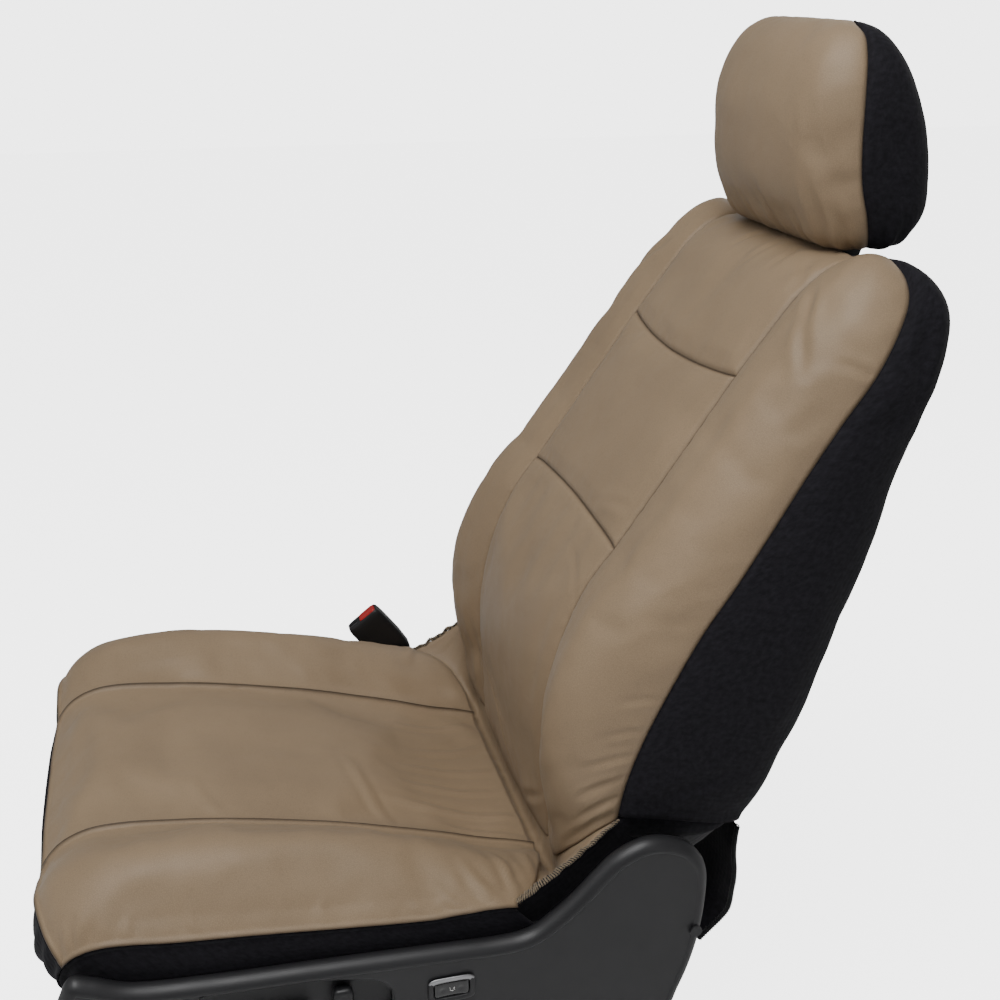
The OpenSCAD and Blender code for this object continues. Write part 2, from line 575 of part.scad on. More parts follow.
// buckle
module buckle_anchor() {
  color([0.65, 0.65, 0.67]) world() translate([-268.1, -30, -40]) rotate([0, -90, 0]) {
    cylinder(r = 6, h = 12);
    cylinder(r = 9, h = 8);
    translate([0, 0, 11.7]) cylinder(r = 10, h = 4, $fn = 6);
  }
}
module buckle_pose() { translate([-277.9, -30, -40]) rotate([38, 0, 0]) children(); }
module buckle_stalk() {
  color([0.1, 0.1, 0.11]) world() buckle_pose() difference() {
    union() {
      rotate([0, 90, 0]) translate([0, 0, -1.5]) cylinder(r = 14, h = 3);
      translate([-1.5, -9, 8]) cube([3, 18, 84]);
    }
    rotate([0, 90, 0]) translate([0, 0, -3]) cylinder(r = 6.06, h = 6);
  }
}
module buckle_housing() {
  color([0.1, 0.1, 0.11]) world() buckle_pose() translate([0, 0, 73]) difference() {
    union() {
      translate([-11.5, -24, 8]) cube([23, 48, 78]);
      rotate([0, 90, 0]) translate([-14, 0, -9]) cylinder(r = 14, h = 18);
    }
    translate([-1.7, -9.2, -30]) cube([3.4, 18.4, 49.2]);
    translate([-8.5, -5, 62]) cube([17, 26, 30]);
    translate([-1.6, -21, 40]) cube([3.2, 13, 50]);
  }
}
module buckle_button() {
  color([0.75, 0.06, 0.06]) world() buckle_pose() translate([0, 0, 73]) translate([-8, -4.5, 69]) cube([16, 25, 19]);
}

headrest_cover_front();
headrest_cover_back();
headrest_cover_closure();
headrest_cover_grip_strip();
headrest_foam();
headrest_posts();
post_guide_left();
post_guide_right();
guide_tubes();
post_lock_button();
back_cover_upper_panel();
back_cover_middle_panel();
back_cover_lower_panel();
back_cover_bolster_left();
back_cover_bolster_right();
back_cover_rear();
back_cover_hem();
back_cover_serged_edges();
back_cover_post_binding();
back_cover_flap();
back_cover_flap_grip_strips();
back_foam();
back_frame_uprights();
back_frame_top_tube();
back_frame_lower_tube();
recliner_arms();
recliner_pins();
recliner_discs();
cushion_cover_centre();
cushion_cover_bolster_left();
cushion_cover_bolster_right();
cushion_cover_front_band();
cushion_cover_side_skirts();
cushion_cover_serged_edges();
cushion_cover_elastic_cord();
cushion_cover_crease_strip();
cushion_cover_straps();
cushion_cover_strap_adjusters();
cushion_cover_strap_hooks();
cushion_foam();
cushion_pan();
frame_sides();
cross_tubes();
risers();
rails_upper();
rail_lower_left();
rail_lower_right();
rail_bolts();
side_shield_left();
side_shield_right();
shield_screws();
lumbar_switch_bezel();
lumbar_rocker();
seat_switch_bar();
backrest_switch_knob();
seat_switch_housing();
buckle_anchor();
buckle_stalk();
buckle_housing();
buckle_button();
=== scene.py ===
import bmesh
import bpy
import json
import math
import numpy as np
from mathutils import Matrix, Vector, geometry, noise


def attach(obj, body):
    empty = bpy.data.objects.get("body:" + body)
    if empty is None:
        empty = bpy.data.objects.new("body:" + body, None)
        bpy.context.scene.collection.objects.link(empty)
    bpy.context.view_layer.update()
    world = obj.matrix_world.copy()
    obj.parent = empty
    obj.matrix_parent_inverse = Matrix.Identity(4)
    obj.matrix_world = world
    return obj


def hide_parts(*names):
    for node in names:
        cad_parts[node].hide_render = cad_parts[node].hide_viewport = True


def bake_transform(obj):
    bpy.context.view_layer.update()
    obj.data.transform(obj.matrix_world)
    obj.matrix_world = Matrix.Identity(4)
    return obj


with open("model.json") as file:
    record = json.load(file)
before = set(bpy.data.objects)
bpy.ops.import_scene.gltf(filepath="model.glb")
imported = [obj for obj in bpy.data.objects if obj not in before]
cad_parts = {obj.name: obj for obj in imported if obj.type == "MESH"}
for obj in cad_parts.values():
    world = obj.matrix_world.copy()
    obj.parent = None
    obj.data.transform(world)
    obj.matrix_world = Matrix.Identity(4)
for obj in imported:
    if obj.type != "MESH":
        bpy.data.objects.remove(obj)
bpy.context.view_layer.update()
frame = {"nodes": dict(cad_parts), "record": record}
nodes = frame["nodes"]
seatShift = 0.056  # the crease sits this far behind the middle of the seat
creaseHeight = 0.300
origin = np.array([0, seatShift, creaseHeight])


def placed(points):
    # millimetres from the crease to metres in the frame
    return np.array(points, float) / 1000 + origin


camera = {"lens": 46.8, "sensor": 36, "place": (1.2162, -0.3298 + seatShift, 0.8410 + creaseHeight),
          "down": 21.65, "turn": 75.53}
camData = bpy.data.cameras.new("camera")
cam = bpy.data.objects.new("camera", camData)
bpy.context.scene.collection.objects.link(cam)
camData.lens = camera["lens"]
camData.sensor_width = camera["sensor"]
cam.location = camera["place"]
cam.rotation_euler = (math.radians(90 - camera["down"]), 0, math.radians(camera["turn"]))
bpy.context.scene.camera = cam

lamps = {
    "overhead": {"place": (0.9, -0.5, 2.7), "aim": (0, 0, 0.5), "size": (1.3, 1.3), "power": 55},
    "front": {"place": (0.6, -2.4, 1.7), "aim": (0, 0, 0.6), "size": (1.6, 1.4), "power": 9},
    "side": {"place": (2.6, 1.0, 1.3), "aim": (0, 0.2, 0.6), "size": (1.2, 1.4), "power": 4},
    "rear": {"place": (-1.6, 1.8, 1.9), "aim": (0, 0.2, 0.7), "size": (1.4, 1.4), "power": 9},
}
for name, lamp in lamps.items():
    data = bpy.data.lights.new(name, "AREA")
    data.shape = "RECTANGLE"
    data.size, data.size_y = lamp["size"]
    data.energy = lamp["power"]
    light = bpy.data.objects.new(name, data)
    bpy.context.scene.collection.objects.link(light)
    light.location = lamp["place"]
    aim = Vector(lamp["aim"]) - Vector(lamp["place"])
    light.rotation_euler = aim.to_track_quat("-Z", "Y").to_euler()

world = bpy.data.worlds.new("studio")
bpy.context.scene.world = world
world.use_nodes = True
backdrop = {"light": 0.27, "seen": 4.0}
sky = world.node_tree.nodes["Background"]
sky.inputs[0].default_value = (1, 1, 1, 1)
seen = world.node_tree.nodes.new("ShaderNodeMapRange")
seen.inputs["To Min"].default_value = backdrop["light"]
seen.inputs["To Max"].default_value = backdrop["seen"]
ray = world.node_tree.nodes.new("ShaderNodeLightPath")
world.node_tree.links.new(ray.outputs["Is Camera Ray"], seen.inputs[0])
world.node_tree.links.new(seen.outputs[0], sky.inputs[1])
print("camera and light set")

socketNames = {"color": "Base Color", "rough": "Roughness", "metal": "Metallic", "sheen": "Sheen Weight",
               "sheenRough": "Sheen Roughness", "coat": "Coat Weight", "coatRough": "Coat Roughness",
               "spec": "Specular IOR Level"}


def newMaterial(name, color, **sockets):
    mat = bpy.data.materials.new(name)
    mat.use_nodes = True
    shader = mat.node_tree.nodes["Principled BSDF"]
    shader.inputs["Base Color"].default_value = (*color, 1)
    for key, value in sockets.items():
        shader.inputs[socketNames[key]].default_value = value
    return mat, mat.node_tree, shader


def addNode(tree, kind, **values):
    node = tree.nodes.new(kind)
    for key, value in values.items():
        if hasattr(node, key):
            setattr(node, key, value)
        else:
            node.inputs[key.replace("_", " ")].default_value = value
    return node


def noiseNode(tree, where, scale, detail=2.0, rough=0.5):
    tex = addNode(tree, "ShaderNodeTexNoise", Scale=scale, Detail=detail, Roughness=rough)
    tree.links.new(where, tex.inputs["Vector"])
    return tex.outputs["Fac"]


def ramp(tree, value, *stops):
    node = tree.nodes.new("ShaderNodeValToRGB")
    while len(node.color_ramp.elements) < len(stops):
        node.color_ramp.elements.new(0.5)
    for element, (place, color) in zip(node.color_ramp.elements, stops):
        element.position = place
        element.color = (*color, 1)
    tree.links.new(value, node.inputs[0])
    return node.outputs[0]


def between(tree, value, low, high):
    node = addNode(tree, "ShaderNodeMapRange", To_Min=low, To_Max=high)
    tree.links.new(value, node.inputs[0])
    return node.outputs[0]


def scaled(color, share):
    return tuple(min(1, c * share) for c in color)


def bumpChain(tree, shader, *layers):
    # each layer is height, strength, distance
    last = None
    for height, strength, distance in layers:
        bump = addNode(tree, "ShaderNodeBump", Strength=strength, Distance=distance)
        tree.links.new(height, bump.inputs["Height"])
        if last:
            tree.links.new(last, bump.inputs["Normal"])
        last = bump.outputs[0]
    tree.links.new(last, shader.inputs["Normal"])


def wave(tree, where, axis, scale, distortion):
    tex = addNode(tree, "ShaderNodeTexWave", Scale=scale, Distortion=distortion, Detail_Scale=4.0)
    tex.bands_direction = axis
    tree.links.new(where, tex.inputs["Vector"])
    return tex.outputs["Fac"]


def leatherette(name, color):
    mat, tree, shader = newMaterial(name, color, rough=0.5, spec=0.3, sheen=0.05, sheenRough=0.5)
    coord = tree.nodes.new("ShaderNodeTexCoord").outputs["Object"]
    warp = addNode(tree, "ShaderNodeTexNoise", Scale=180.0, Detail=2.0)
    tree.links.new(coord, warp.inputs["Vector"])
    mix = addNode(tree, "ShaderNodeVectorMath", operation="MULTIPLY_ADD")
    tree.links.new(warp.outputs["Color"], mix.inputs[0])
    mix.inputs[1].default_value = (0.0016, 0.0016, 0.0016)
    tree.links.new(coord, mix.inputs[2])
    cells = addNode(tree, "ShaderNodeTexVoronoi", Scale=620.0)
    cells.feature = "DISTANCE_TO_EDGE"
    tree.links.new(mix.outputs[0], cells.inputs["Vector"])
    grain = ramp(tree, cells.outputs["Distance"], (0.0, (0, 0, 0)), (0.22, (1, 1, 1)))
    tone = ramp(tree, noiseNode(tree, coord, 9.0, 3.0), (0.3, scaled(color, 0.93)),
                (0.7, scaled(color, 1.06)))
    shade = addNode(tree, "ShaderNodeMixRGB", blend_type="MULTIPLY")
    tree.links.new(tone, shade.inputs[1])
    tree.links.new(ramp(tree, cells.outputs["Distance"], (0.0, (0.86, 0.86, 0.86)), (0.2, (1, 1, 1))),
                   shade.inputs[2])
    shade.inputs[0].default_value = 1
    # painted shade: the colour darkens towards the brown below along the seams, standing in for the shade
    # that falls in the seam grooves
    seam = addNode(tree, "ShaderNodeAttribute", attribute_name="seam")
    dark = addNode(tree, "ShaderNodeMixRGB", blend_type="MULTIPLY")
    tree.links.new(seam.outputs["Fac"], dark.inputs[0])
    tree.links.new(shade.outputs[0], dark.inputs[1])
    dark.inputs[2].default_value = (0.16, 0.14, 0.12, 1)
    tree.links.new(dark.outputs[0], shader.inputs["Base Color"])
    tree.links.new(between(tree, noiseNode(tree, coord, 60.0, 4.0), 0.42, 0.58), shader.inputs["Roughness"])
    bumpChain(tree, shader, (grain, 0.32, 0.00022), (noiseNode(tree, coord, 1500.0), 0.12, 0.0001))
    return mat


def knit(name, color):
    mat, tree, shader = newMaterial(name, color, rough=0.85, spec=0.12, sheen=0.03, sheenRough=0.45)
    uv = tree.nodes.new("ShaderNodeTexCoord").outputs["UV"]
    fuzz = noiseNode(tree, uv, 1.6, 4.0, 0.65)
    tone = ramp(tree, fuzz, (0.35, scaled(color, 0.75)), (0.7, scaled(color, 1.5)))
    tree.links.new(tone, shader.inputs["Base Color"])
    bumpChain(tree, shader, (wave(tree, uv, "X", 0.42, 0.6), 0.35, 0.0003),
              (wave(tree, uv, "Y", 0.55, 0.8), 0.3, 0.00025),
              (fuzz, 0.25, 0.0002))
    return mat


def plastic(name, color, rough=0.5, grain=900.0, strength=0.2, coat=0.0):
    mat, tree, shader = newMaterial(name, color, rough=rough, spec=0.42, coat=coat, coatRough=0.08)
    coord = tree.nodes.new("ShaderNodeTexCoord").outputs["Object"]
    broad = noiseNode(tree, coord, 35.0, 4.0)
    tree.links.new(between(tree, broad, max(0.02, rough - 0.07), rough + 0.08), shader.inputs["Roughness"])
    tree.links.new(ramp(tree, noiseNode(tree, coord, 6.0, 3.0), (0.3, scaled(color, 0.9)),
                        (0.7, scaled(color, 1.1))),
                   shader.inputs["Base Color"])
    bumpChain(tree, shader, (noiseNode(tree, coord, grain, 3.0, 0.6), strength, 0.00018))
    return mat


def metal(name, color, rough, shine=1.0, grain=400.0):
    mat, tree, shader = newMaterial(name, color, rough=rough, metal=shine)
    coord = tree.nodes.new("ShaderNodeTexCoord").outputs["Object"]
    wear = noiseNode(tree, coord, 22.0, 5.0, 0.6)
    tree.links.new(between(tree, wear, rough * 0.7, min(1, rough * 1.4)), shader.inputs["Roughness"])
    tree.links.new(ramp(tree, wear, (0.3, scaled(color, 0.8)), (0.7, scaled(color, 1.12))),
                   shader.inputs["Base Color"])
    bumpChain(tree, shader, (noiseNode(tree, coord, grain, 2.0), 0.08, 0.0001))
    return mat


def woven(name, color, scale=900.0, sheen=0.2):
    mat, tree, shader = newMaterial(name, color, rough=0.8, spec=0.2, sheen=sheen)
    coord = tree.nodes.new("ShaderNodeTexCoord").outputs["Object"]
    weft = wave(tree, coord, "X", scale / 3, 0.8)
    warp = wave(tree, coord, "Z", scale / 3, 0.8)
    tone = ramp(tree, noiseNode(tree, coord, scale, 3.0), (0.35, scaled(color, 0.7)),
                (0.7, scaled(color, 1.25)))
    tree.links.new(tone, shader.inputs["Base Color"])
    bumpChain(tree, shader, (weft, 0.4, 0.0003), (warp, 0.4, 0.0003))
    return mat


looks = {
    "leatherette": leatherette("leatherette", (0.262, 0.188, 0.116)),
    "knit": knit("knit", (0.0105, 0.0098, 0.0125)),
    "thread": woven("thread", (0.24, 0.185, 0.12), 1800.0),
    "grip_tape": woven("grip_tape", (0.012, 0.012, 0.013), 700.0),
    "elastic": woven("elastic", (0.6, 0.6, 0.58), 1500.0),
    "webbing": woven("webbing", (0.014, 0.014, 0.015), 800.0),
    "foam": woven("seat_fabric", (0.028, 0.028, 0.030), 500.0),
    "chrome": metal("chrome", (0.62, 0.62, 0.64), 0.12),
    "zinc_steel": metal("zinc_steel", (0.42, 0.42, 0.43), 0.38),
    "frame_paint": plastic("frame_paint", (0.012, 0.012, 0.013), 0.42, 300.0, 0.1),
    "gloss_black": plastic("gloss_black", (0.006, 0.006, 0.007), 0.16, 200.0, 0.03, 0.6),
    "silver_trim": metal("silver_trim", (0.36, 0.36, 0.37), 0.34),
    "red_plastic": plastic("red_plastic", (0.35, 0.012, 0.010), 0.35, 400.0, 0.06),
    "black_plastic": plastic("black_plastic", (0.009, 0.009, 0.010), 0.42, 900.0, 0.2),
    "charcoal_plastic": plastic("charcoal_plastic", (0.0150, 0.0148, 0.0162), 0.44, 950.0, 0.22),
}
blackThread = woven("black_thread", (0.008, 0.008, 0.009), 1800.0)
whiteMark = plastic("mark", (0.62, 0.62, 0.60), 0.5, 300.0, 0.03)
beigeSkin, blackKnit, charcoal = looks["leatherette"], looks["knit"], looks["charcoal_plastic"]
print("materials ready")

# stations: front y, z, rear y, z, half width, bolster lead, side seam share (millimetres from the crease)
stations = {
    "back": np.array([
        [4, -8, 136, 36, 226, 0, 0.16], [-1, 30, 166, 58, 238, 5, 0.17], [-3, 85, 194, 92, 247, 12, 0.19],
        [-6, 140, 214, 133, 254, 18, 0.21], [-4, 192, 236, 183, 257, 17, 0.25],
        [8, 245, 255, 234, 258, 13, 0.29],
        [32, 300, 272, 284, 257, 8, 0.32], [65, 345, 286, 330, 255, 4, 0.34],
        [99, 393, 299, 376, 252, 1, 0.36],
        [135, 445, 311, 420, 249, 0, 0.38], [168, 493, 326, 462, 246, 0, 0.41],
        [200, 536, 340, 502, 243, 0, 0.45],
        [228, 572, 350, 541, 235, 0, 0.47], [250, 596, 352, 570, 223, 0, 0.48],
        [268, 610, 342, 592, 205, 0, 0.49],
        [283, 617, 324, 606, 184, 0, 0.5], [298, 618, 304, 614, 162, 0, 0.5]], float),
    "cushion": np.array([
        [-14, 4, -22, -34, 244, 14, -0.1], [-38, 12, -42, -36, 252, 24, -0.25],
        [-74, 22, -76, -37, 258, 31, -0.26],
        [-115, 36, -116, -38, 261, 33, -0.08], [-155, 48, -156, -38, 262, 34, 0.06],
        [-222, 67, -220, -38, 263, 34, 0.16], [-319, 88, -310, -38, 264, 31, 0.21],
        [-380, 97, -370, -38, 264, 26, 0.22],
        [-418, 101, -405, -38, 263, 20, 0.21], [-446, 100, -420, -36, 261, 15, 0.21],
        [-468, 92, -428, -32, 257, 11, 0.23],
        [-483, 78, -434, -26, 251, 8, 0.27], [-493, 58, -438, -18, 243, 5, 0.33],
        [-497, 34, -440, -10, 233, 2, 0.4],
        [-494, 12, -444, -3, 220, 0, 0.45], [-484, -2, -456, 2, 204, 0, 0.5]], float),
    "head": np.array([
        [304, 615, 332, 617, 96, 0, 0.42], [284, 614, 352, 616, 112, 0, 0.42],
        [263, 624, 369, 622, 124, 0, 0.42],
        [249, 644, 385, 640, 130, 0, 0.38], [240, 672, 385, 668, 132, 0, 0.36],
        [237, 705, 379, 701, 133, 0, 0.36],
        [237, 735, 370, 732, 132, 0, 0.38], [243, 762, 357, 760, 128, 0, 0.4],
        [254, 786, 341, 784, 119, 0, 0.43],
        [270, 804, 323, 801, 104, 0, 0.46], [292, 813, 299, 811.5, 80, 0, 0.48]], float),
}
ringCount = {"back": 11, "cushion": 11, "head": 9}
rides = {"back": "backrest", "cushion": "cushion", "head": "headrest"}
seamX = 135.0
backEdge = np.array([0.6, 0.6, 0.6, 0.75, 1.15, 1.75, 2.35, 2.15, 1.6, 1.4, 1.4, 1.4])
cushionEdge = np.array([0.15, 0.15, 0.15, 0.4, 0.8, 1.3, 1.85, 0.9, 0.6, 0.5, 0.5, 0.5])
cushionNose = np.array([11.7, 11.7, 11.65, 11.5, 11.3, 11.1, 10.9, 11, 11.2, 11.4, 11.5, 11.6])


def mixed(a, b, f):
    return a + (b - a) * f


def eased(f):
    f = np.clip(f, 0, 1)
    return f * f * (3 - 2 * f)


def throughPoints(points, t):
    # smooth curve through points at t; points is (count, width) or (count, len(t), width)
    n = len(t)
    if points.ndim == 2:
        points = np.repeat(points[:, None, :], n, axis=1)
    last = len(points) - 1
    i = np.clip(np.floor(t).astype(int), 0, last - 1)
    f = (t - i)[:, None]
    k = np.arange(n)
    a, b, c, d = (points[np.clip(i + m, 0, last), k] for m in (-1, 0, 1, 2))
    square, cube = 2 * a - 5 * b + 4 * c - d, 3 * b - a - 3 * c + d
    return 0.5 * (2 * b + (c - a) * f + square * f * f + cube * f ** 3)


def ringPoints(body, a, w, d):
    zero = np.zeros_like(a)
    if body == "back":
        s = np.minimum(seamX, a * 0.82)
        pairs = [(zero, zero - 0.02), (s * 0.5, zero - 0.015), (s, zero), (mixed(s, a, 0.3), -0.7 * d),
                 (mixed(s, a, 0.55), -d), (mixed(s, a, 0.82), mixed(-d, w, 0.32)), (a * 0.985, w),
                 (a, mixed(w, 0.9, 0.4)), (a * 0.975, zero + 0.84), (a * 0.86, zero + 0.965),
                 (a * 0.5, zero + 1.01),
                 (zero, zero + 1.03)]
    elif body == "cushion":
        s = np.minimum(seamX, a * 0.62)
        pairs = [(zero, zero - 0.05), (s * 0.5, zero - 0.04), (s, zero), (mixed(s, a, 0.3), -0.75 * d),
                 (mixed(s, a, 0.58), -d), (mixed(s, a, 0.86), mixed(-d, w, 0.38)), (a, w),
                 (a, mixed(w, 0.95, 0.5)), (a * 0.985, zero + 0.9), (a * 0.93, zero + 0.99),
                 (a * 0.5, zero + 1),
                 (zero, zero + 1)]
    else:
        pairs = [(zero, zero), (a * 0.45, zero + 0.012), (a * 0.78, zero + 0.07),
                 (a * 0.93, mixed(0.1, w, 0.45)),
                 (a, w), (a, mixed(w, 0.8, 0.5)), (a * 0.93, zero + 0.8), (a * 0.74, zero + 0.94),
                 (a * 0.4, zero + 1), (zero, zero + 1.01)]
    return np.array([np.stack(p, 1) for p in pairs])


def seatPoint(body, s, t, inset=0.0):
    # points on a dressed surface; s is the station, t the place round the ring, inset in millimetres
    s, t = np.asarray(s, float), np.asarray(t, float)
    q = throughPoints(stations[body], s)
    depth = np.hypot(q[:, 2] - q[:, 0], q[:, 3] - q[:, 1])
    n = ringCount[body]
    u = np.where(t > n, t - 2 * n, t)
    m = throughPoints(ringPoints(body, q[:, 4], q[:, 6], q[:, 5] / depth), np.abs(u))
    k = np.minimum(inset / depth, 0.45)
    w = mixed(k, 1 - k, m[:, 1])
    x = np.sign(u) * m[:, 0] * (q[:, 4] - inset) / q[:, 4]
    y = mixed(q[:, 0], q[:, 2], w)
    z = mixed(q[:, 1], q[:, 3], w)
    if body == "back":
        g = np.clip((np.abs(x) - 122) / 62, 0, 1)
        # a dip under the headrest
        z = z - 13 * np.clip((s - 12) / 3, 0, 1) * (1 - g * g * (3 - 2 * g))
        z = z - inset * np.clip((s - 11) / 4, 0, 1)
    elif body == "head":
        z = z - inset * np.clip((s - 6) / 3, 0, 1)
    else:
        y = y + inset * np.clip((s - 11) / 3, 0, 1)
    return placed(np.stack([x, y, z], 1))


def curveAt(table, t):
    return throughPoints(table[:, None], t)[:, 0]


def rowStation(body, j, t):
    # station of pattern row j; the cover's lower edge is row 0
    n = ringCount[body]
    au = np.where(t > n, 2 * n - t, np.abs(t))
    if body == "head":
        return j.astype(float)
    c = np.maximum(0, 1 - (au / 2) ** 2)
    if body == "back":
        low = curveAt(backEdge, au)
        a, b = 6.85 + 0.18 * c, 10.2 - 0.22 * c
        s = np.where(j <= 8, mixed(low, a, j / 8),
                     np.where(j <= 12, mixed(a, b, (j - 8) / 4), mixed(b, 16, (j - 12) / 7)))
        return np.where(j < 0, low * (1 + 0.2 * j), s)
    low, high = curveAt(cushionEdge, au), curveAt(cushionNose, au)
    s = np.where(j <= 12, mixed(low, high, j / 12), mixed(high, 15, (j - 12) / 4))
    return np.where(j < 0, low * (1 + 0.5 * j), s)


def onCover(body, t, j):
    t, j = np.asarray(t, float), np.asarray(j, float)
    return seatPoint(body, rowStation(body, j, t), t)


def spacing(length, step, fineStart, fineEnd):
    # distances from 0 to length, close together at sewn edges
    fine = [0, 0.0009, 0.0018, 0.0028, 0.004, 0.0055, 0.0075, 0.0105]
    start = fine if fineStart else [0]
    end = fine if fineEnd else [0]
    a, b = start[-1], length - end[-1]
    inner = np.linspace(a, b, max(2, int(round((b - a) / step))) + 1)
    return np.concatenate([start[:-1], inner, [length - e for e in end[:-1]][::-1]])


def lengthAlong(points):
    return np.concatenate([[0], np.cumsum(np.linalg.norm(np.diff(points, axis=0), axis=1))])


def gridFor(body, span, rows, step, sewn):
    # sewn: which of the edges span start, span end, first row, last row are sewn
    tt, jj = np.linspace(*span, 400), np.linspace(*rows, 400)
    lt = np.zeros(400)
    for share in (0.25, 0.5, 0.75):
        lt += lengthAlong(onCover(body, tt, np.full(400, mixed(*rows, share)))) / 3
    lj = lengthAlong(onCover(body, np.full(400, mixed(*span, 0.5)), jj))
    ts = np.interp(spacing(lt[-1], step, sewn[0], sewn[1]), lt, tt)
    js = np.interp(spacing(lj[-1], step, sewn[2], sewn[3]), lj, jj)
    T, J = np.meshgrid(ts, js)
    return ts, js, onCover(body, T.ravel(), J.ravel()).reshape(*T.shape, 3)


def gridNormals(P):
    n = np.cross(np.gradient(P, axis=1), np.gradient(P, axis=0))
    return n / np.maximum(np.linalg.norm(n, axis=2, keepdims=True), 1e-9)


def cellNoise(P, scale, seed=0.0):
    flat = P.reshape(-1, 3) / scale + [seed, -seed, 2 * seed]
    return np.array([noise.noise(Vector(p)) for p in flat]).reshape(P.shape[:2])


def lineNoise(v, scale, seed):
    return np.array([noise.noise(Vector((x, seed,
                                         seed * 0.37))) for x in v.ravel() / scale]).reshape(v.shape)


def edgeDistances(P):
    U = np.zeros(P.shape[:2])
    V = np.zeros(P.shape[:2])
    U[:, 1:] = np.cumsum(np.linalg.norm(np.diff(P, axis=1), axis=2), axis=1)
    V[1:, :] = np.cumsum(np.linalg.norm(np.diff(P, axis=0), axis=2), axis=0)
    return U, V, U[:, -1:] - U, V[-1:, :] - V


def linkMesh(name, verts, faces, mats, smooth=True):
    mesh = bpy.data.meshes.new(name)
    mesh.from_pydata(np.asarray(verts, float).tolist(), [], [list(map(int, f)) for f in faces])
    for mat in mats:
        mesh.materials.append(mat)
    for poly in mesh.polygons:
        poly.use_smooth = smooth
    obj = bpy.data.objects.new(name, mesh)
    bpy.context.scene.collection.objects.link(obj)
    return obj


def gridFaces(nj, ni, closed=False, start=0):
    idx = np.arange(nj * ni).reshape(nj, ni) + start
    if closed:
        idx = np.concatenate([idx, idx[:, :1]], axis=1)
    return np.stack([idx[:-1, :-1], idx[:-1, 1:], idx[1:, 1:], idx[1:, :-1]], -1).reshape(-1, 4)


def clothMesh(name, P, U, V, mat, thick):
    faces = gridFaces(*P.shape[:2])
    obj = linkMesh(name, P.reshape(-1, 3), faces, [mat])
    layer = obj.data.uv_layers.new(name="UVMap")
    uv = np.stack([U.ravel(), V.ravel()], 1)[faces.ravel()] * 100
    layer.data.foreach_set("uv", uv.ravel().astype(np.float32))
    solid = obj.modifiers.new("thickness", "SOLIDIFY")
    solid.thickness = thick
    solid.offset = -1
    return obj


def loft(name, rings, mats, caps=(True, True), closed=True):
    # rings is (count, points, 3)
    rings = np.asarray(rings, float)
    m, n = rings.shape[:2]
    verts = rings.reshape(-1, 3)
    faces = [list(f) for f in gridFaces(m, n, closed)]
    if caps[0]:
        faces.append(list(range(n))[::-1])
    if caps[1]:
        faces.append(list(range((m - 1) * n, m * n)))
    return linkMesh(name, verts, faces, mats)


def tubeRings(path, radius, sides):
    path = np.asarray(path, float)
    d = np.gradient(path, axis=0)
    d /= np.linalg.norm(d, axis=1, keepdims=True)
    u = np.cross(d, [0.13, 0.21, 1.0])
    u /= np.linalg.norm(u, axis=1, keepdims=True)
    v = np.cross(d, u)
    a = np.linspace(0, 2 * math.pi, sides, endpoint=False)
    c, s = np.cos(a)[None, :, None], np.sin(a)[None, :, None]
    return path[:, None] + radius * (c * u[:, None] + s * v[:, None])


def joined(name, parts, mats):
    # parts are (rings, material number), each a closed tube
    verts, faces, kinds, base = [], [], [], 0
    for rings, kind in parts:
        m, n = rings.shape[:2]
        verts.append(rings.reshape(-1, 3))
        new = [list(f) for f in gridFaces(m, n, True, base)]
        new += [list(range(base, base + n))[::-1], list(range(base + (m - 1) * n, base + m * n))]
        faces += new
        kinds += [kind] * len(new)
        base += m * n
    obj = linkMesh(name, np.concatenate(verts), faces, mats)
    obj.data.polygons.foreach_set("material_index", kinds)
    return obj


def put(obj, body, slot, *replaced):
    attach(obj, body)
    if replaced:
        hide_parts(*replaced)
    return obj


# dark upholstery of the bare seat, under the covers
pads = {
    "back_upholstery": {"body": "back", "stations": (0.02, 15.6), "inset": 7, "node": "back_foam"},
    "cushion_upholstery": {"body": "cushion", "stations": (0.05, 14.9), "inset": 7, "node": "cushion_foam"},
    "headrest_pad": {"body": "head", "stations": (1.2, 9.8), "inset": 6, "node": "headrest_foam"},
}
for name, pad in pads.items():
    n = ringCount[pad["body"]]
    around = np.linspace(0, 2 * n, 121)[:-1]
    levels = np.linspace(*pad["stations"], 70)
    rings = [seatPoint(pad["body"], np.full(120, s), around, pad["inset"]) for s in levels]
    for end, order in ((0, -1), (-1, 1)):
        middle = rings[end].mean(axis=0)
        for share in (0.6, 0.2):
            ring = [mixed(middle, rings[end], share)]
            rings = ring + rings if order < 0 else rings + ring
    obj = loft(name, rings, [looks["foam"]])
    put(obj, rides[pad["body"]], "foam", pad["node"])
print("upholstery made")

# cloth that is settled before the fine panels are made from it
cloth = {"most": 0.005, "step": 0.0075, "frames": 16, "tension": 16, "bending": 0.22, "mass": 0.25}
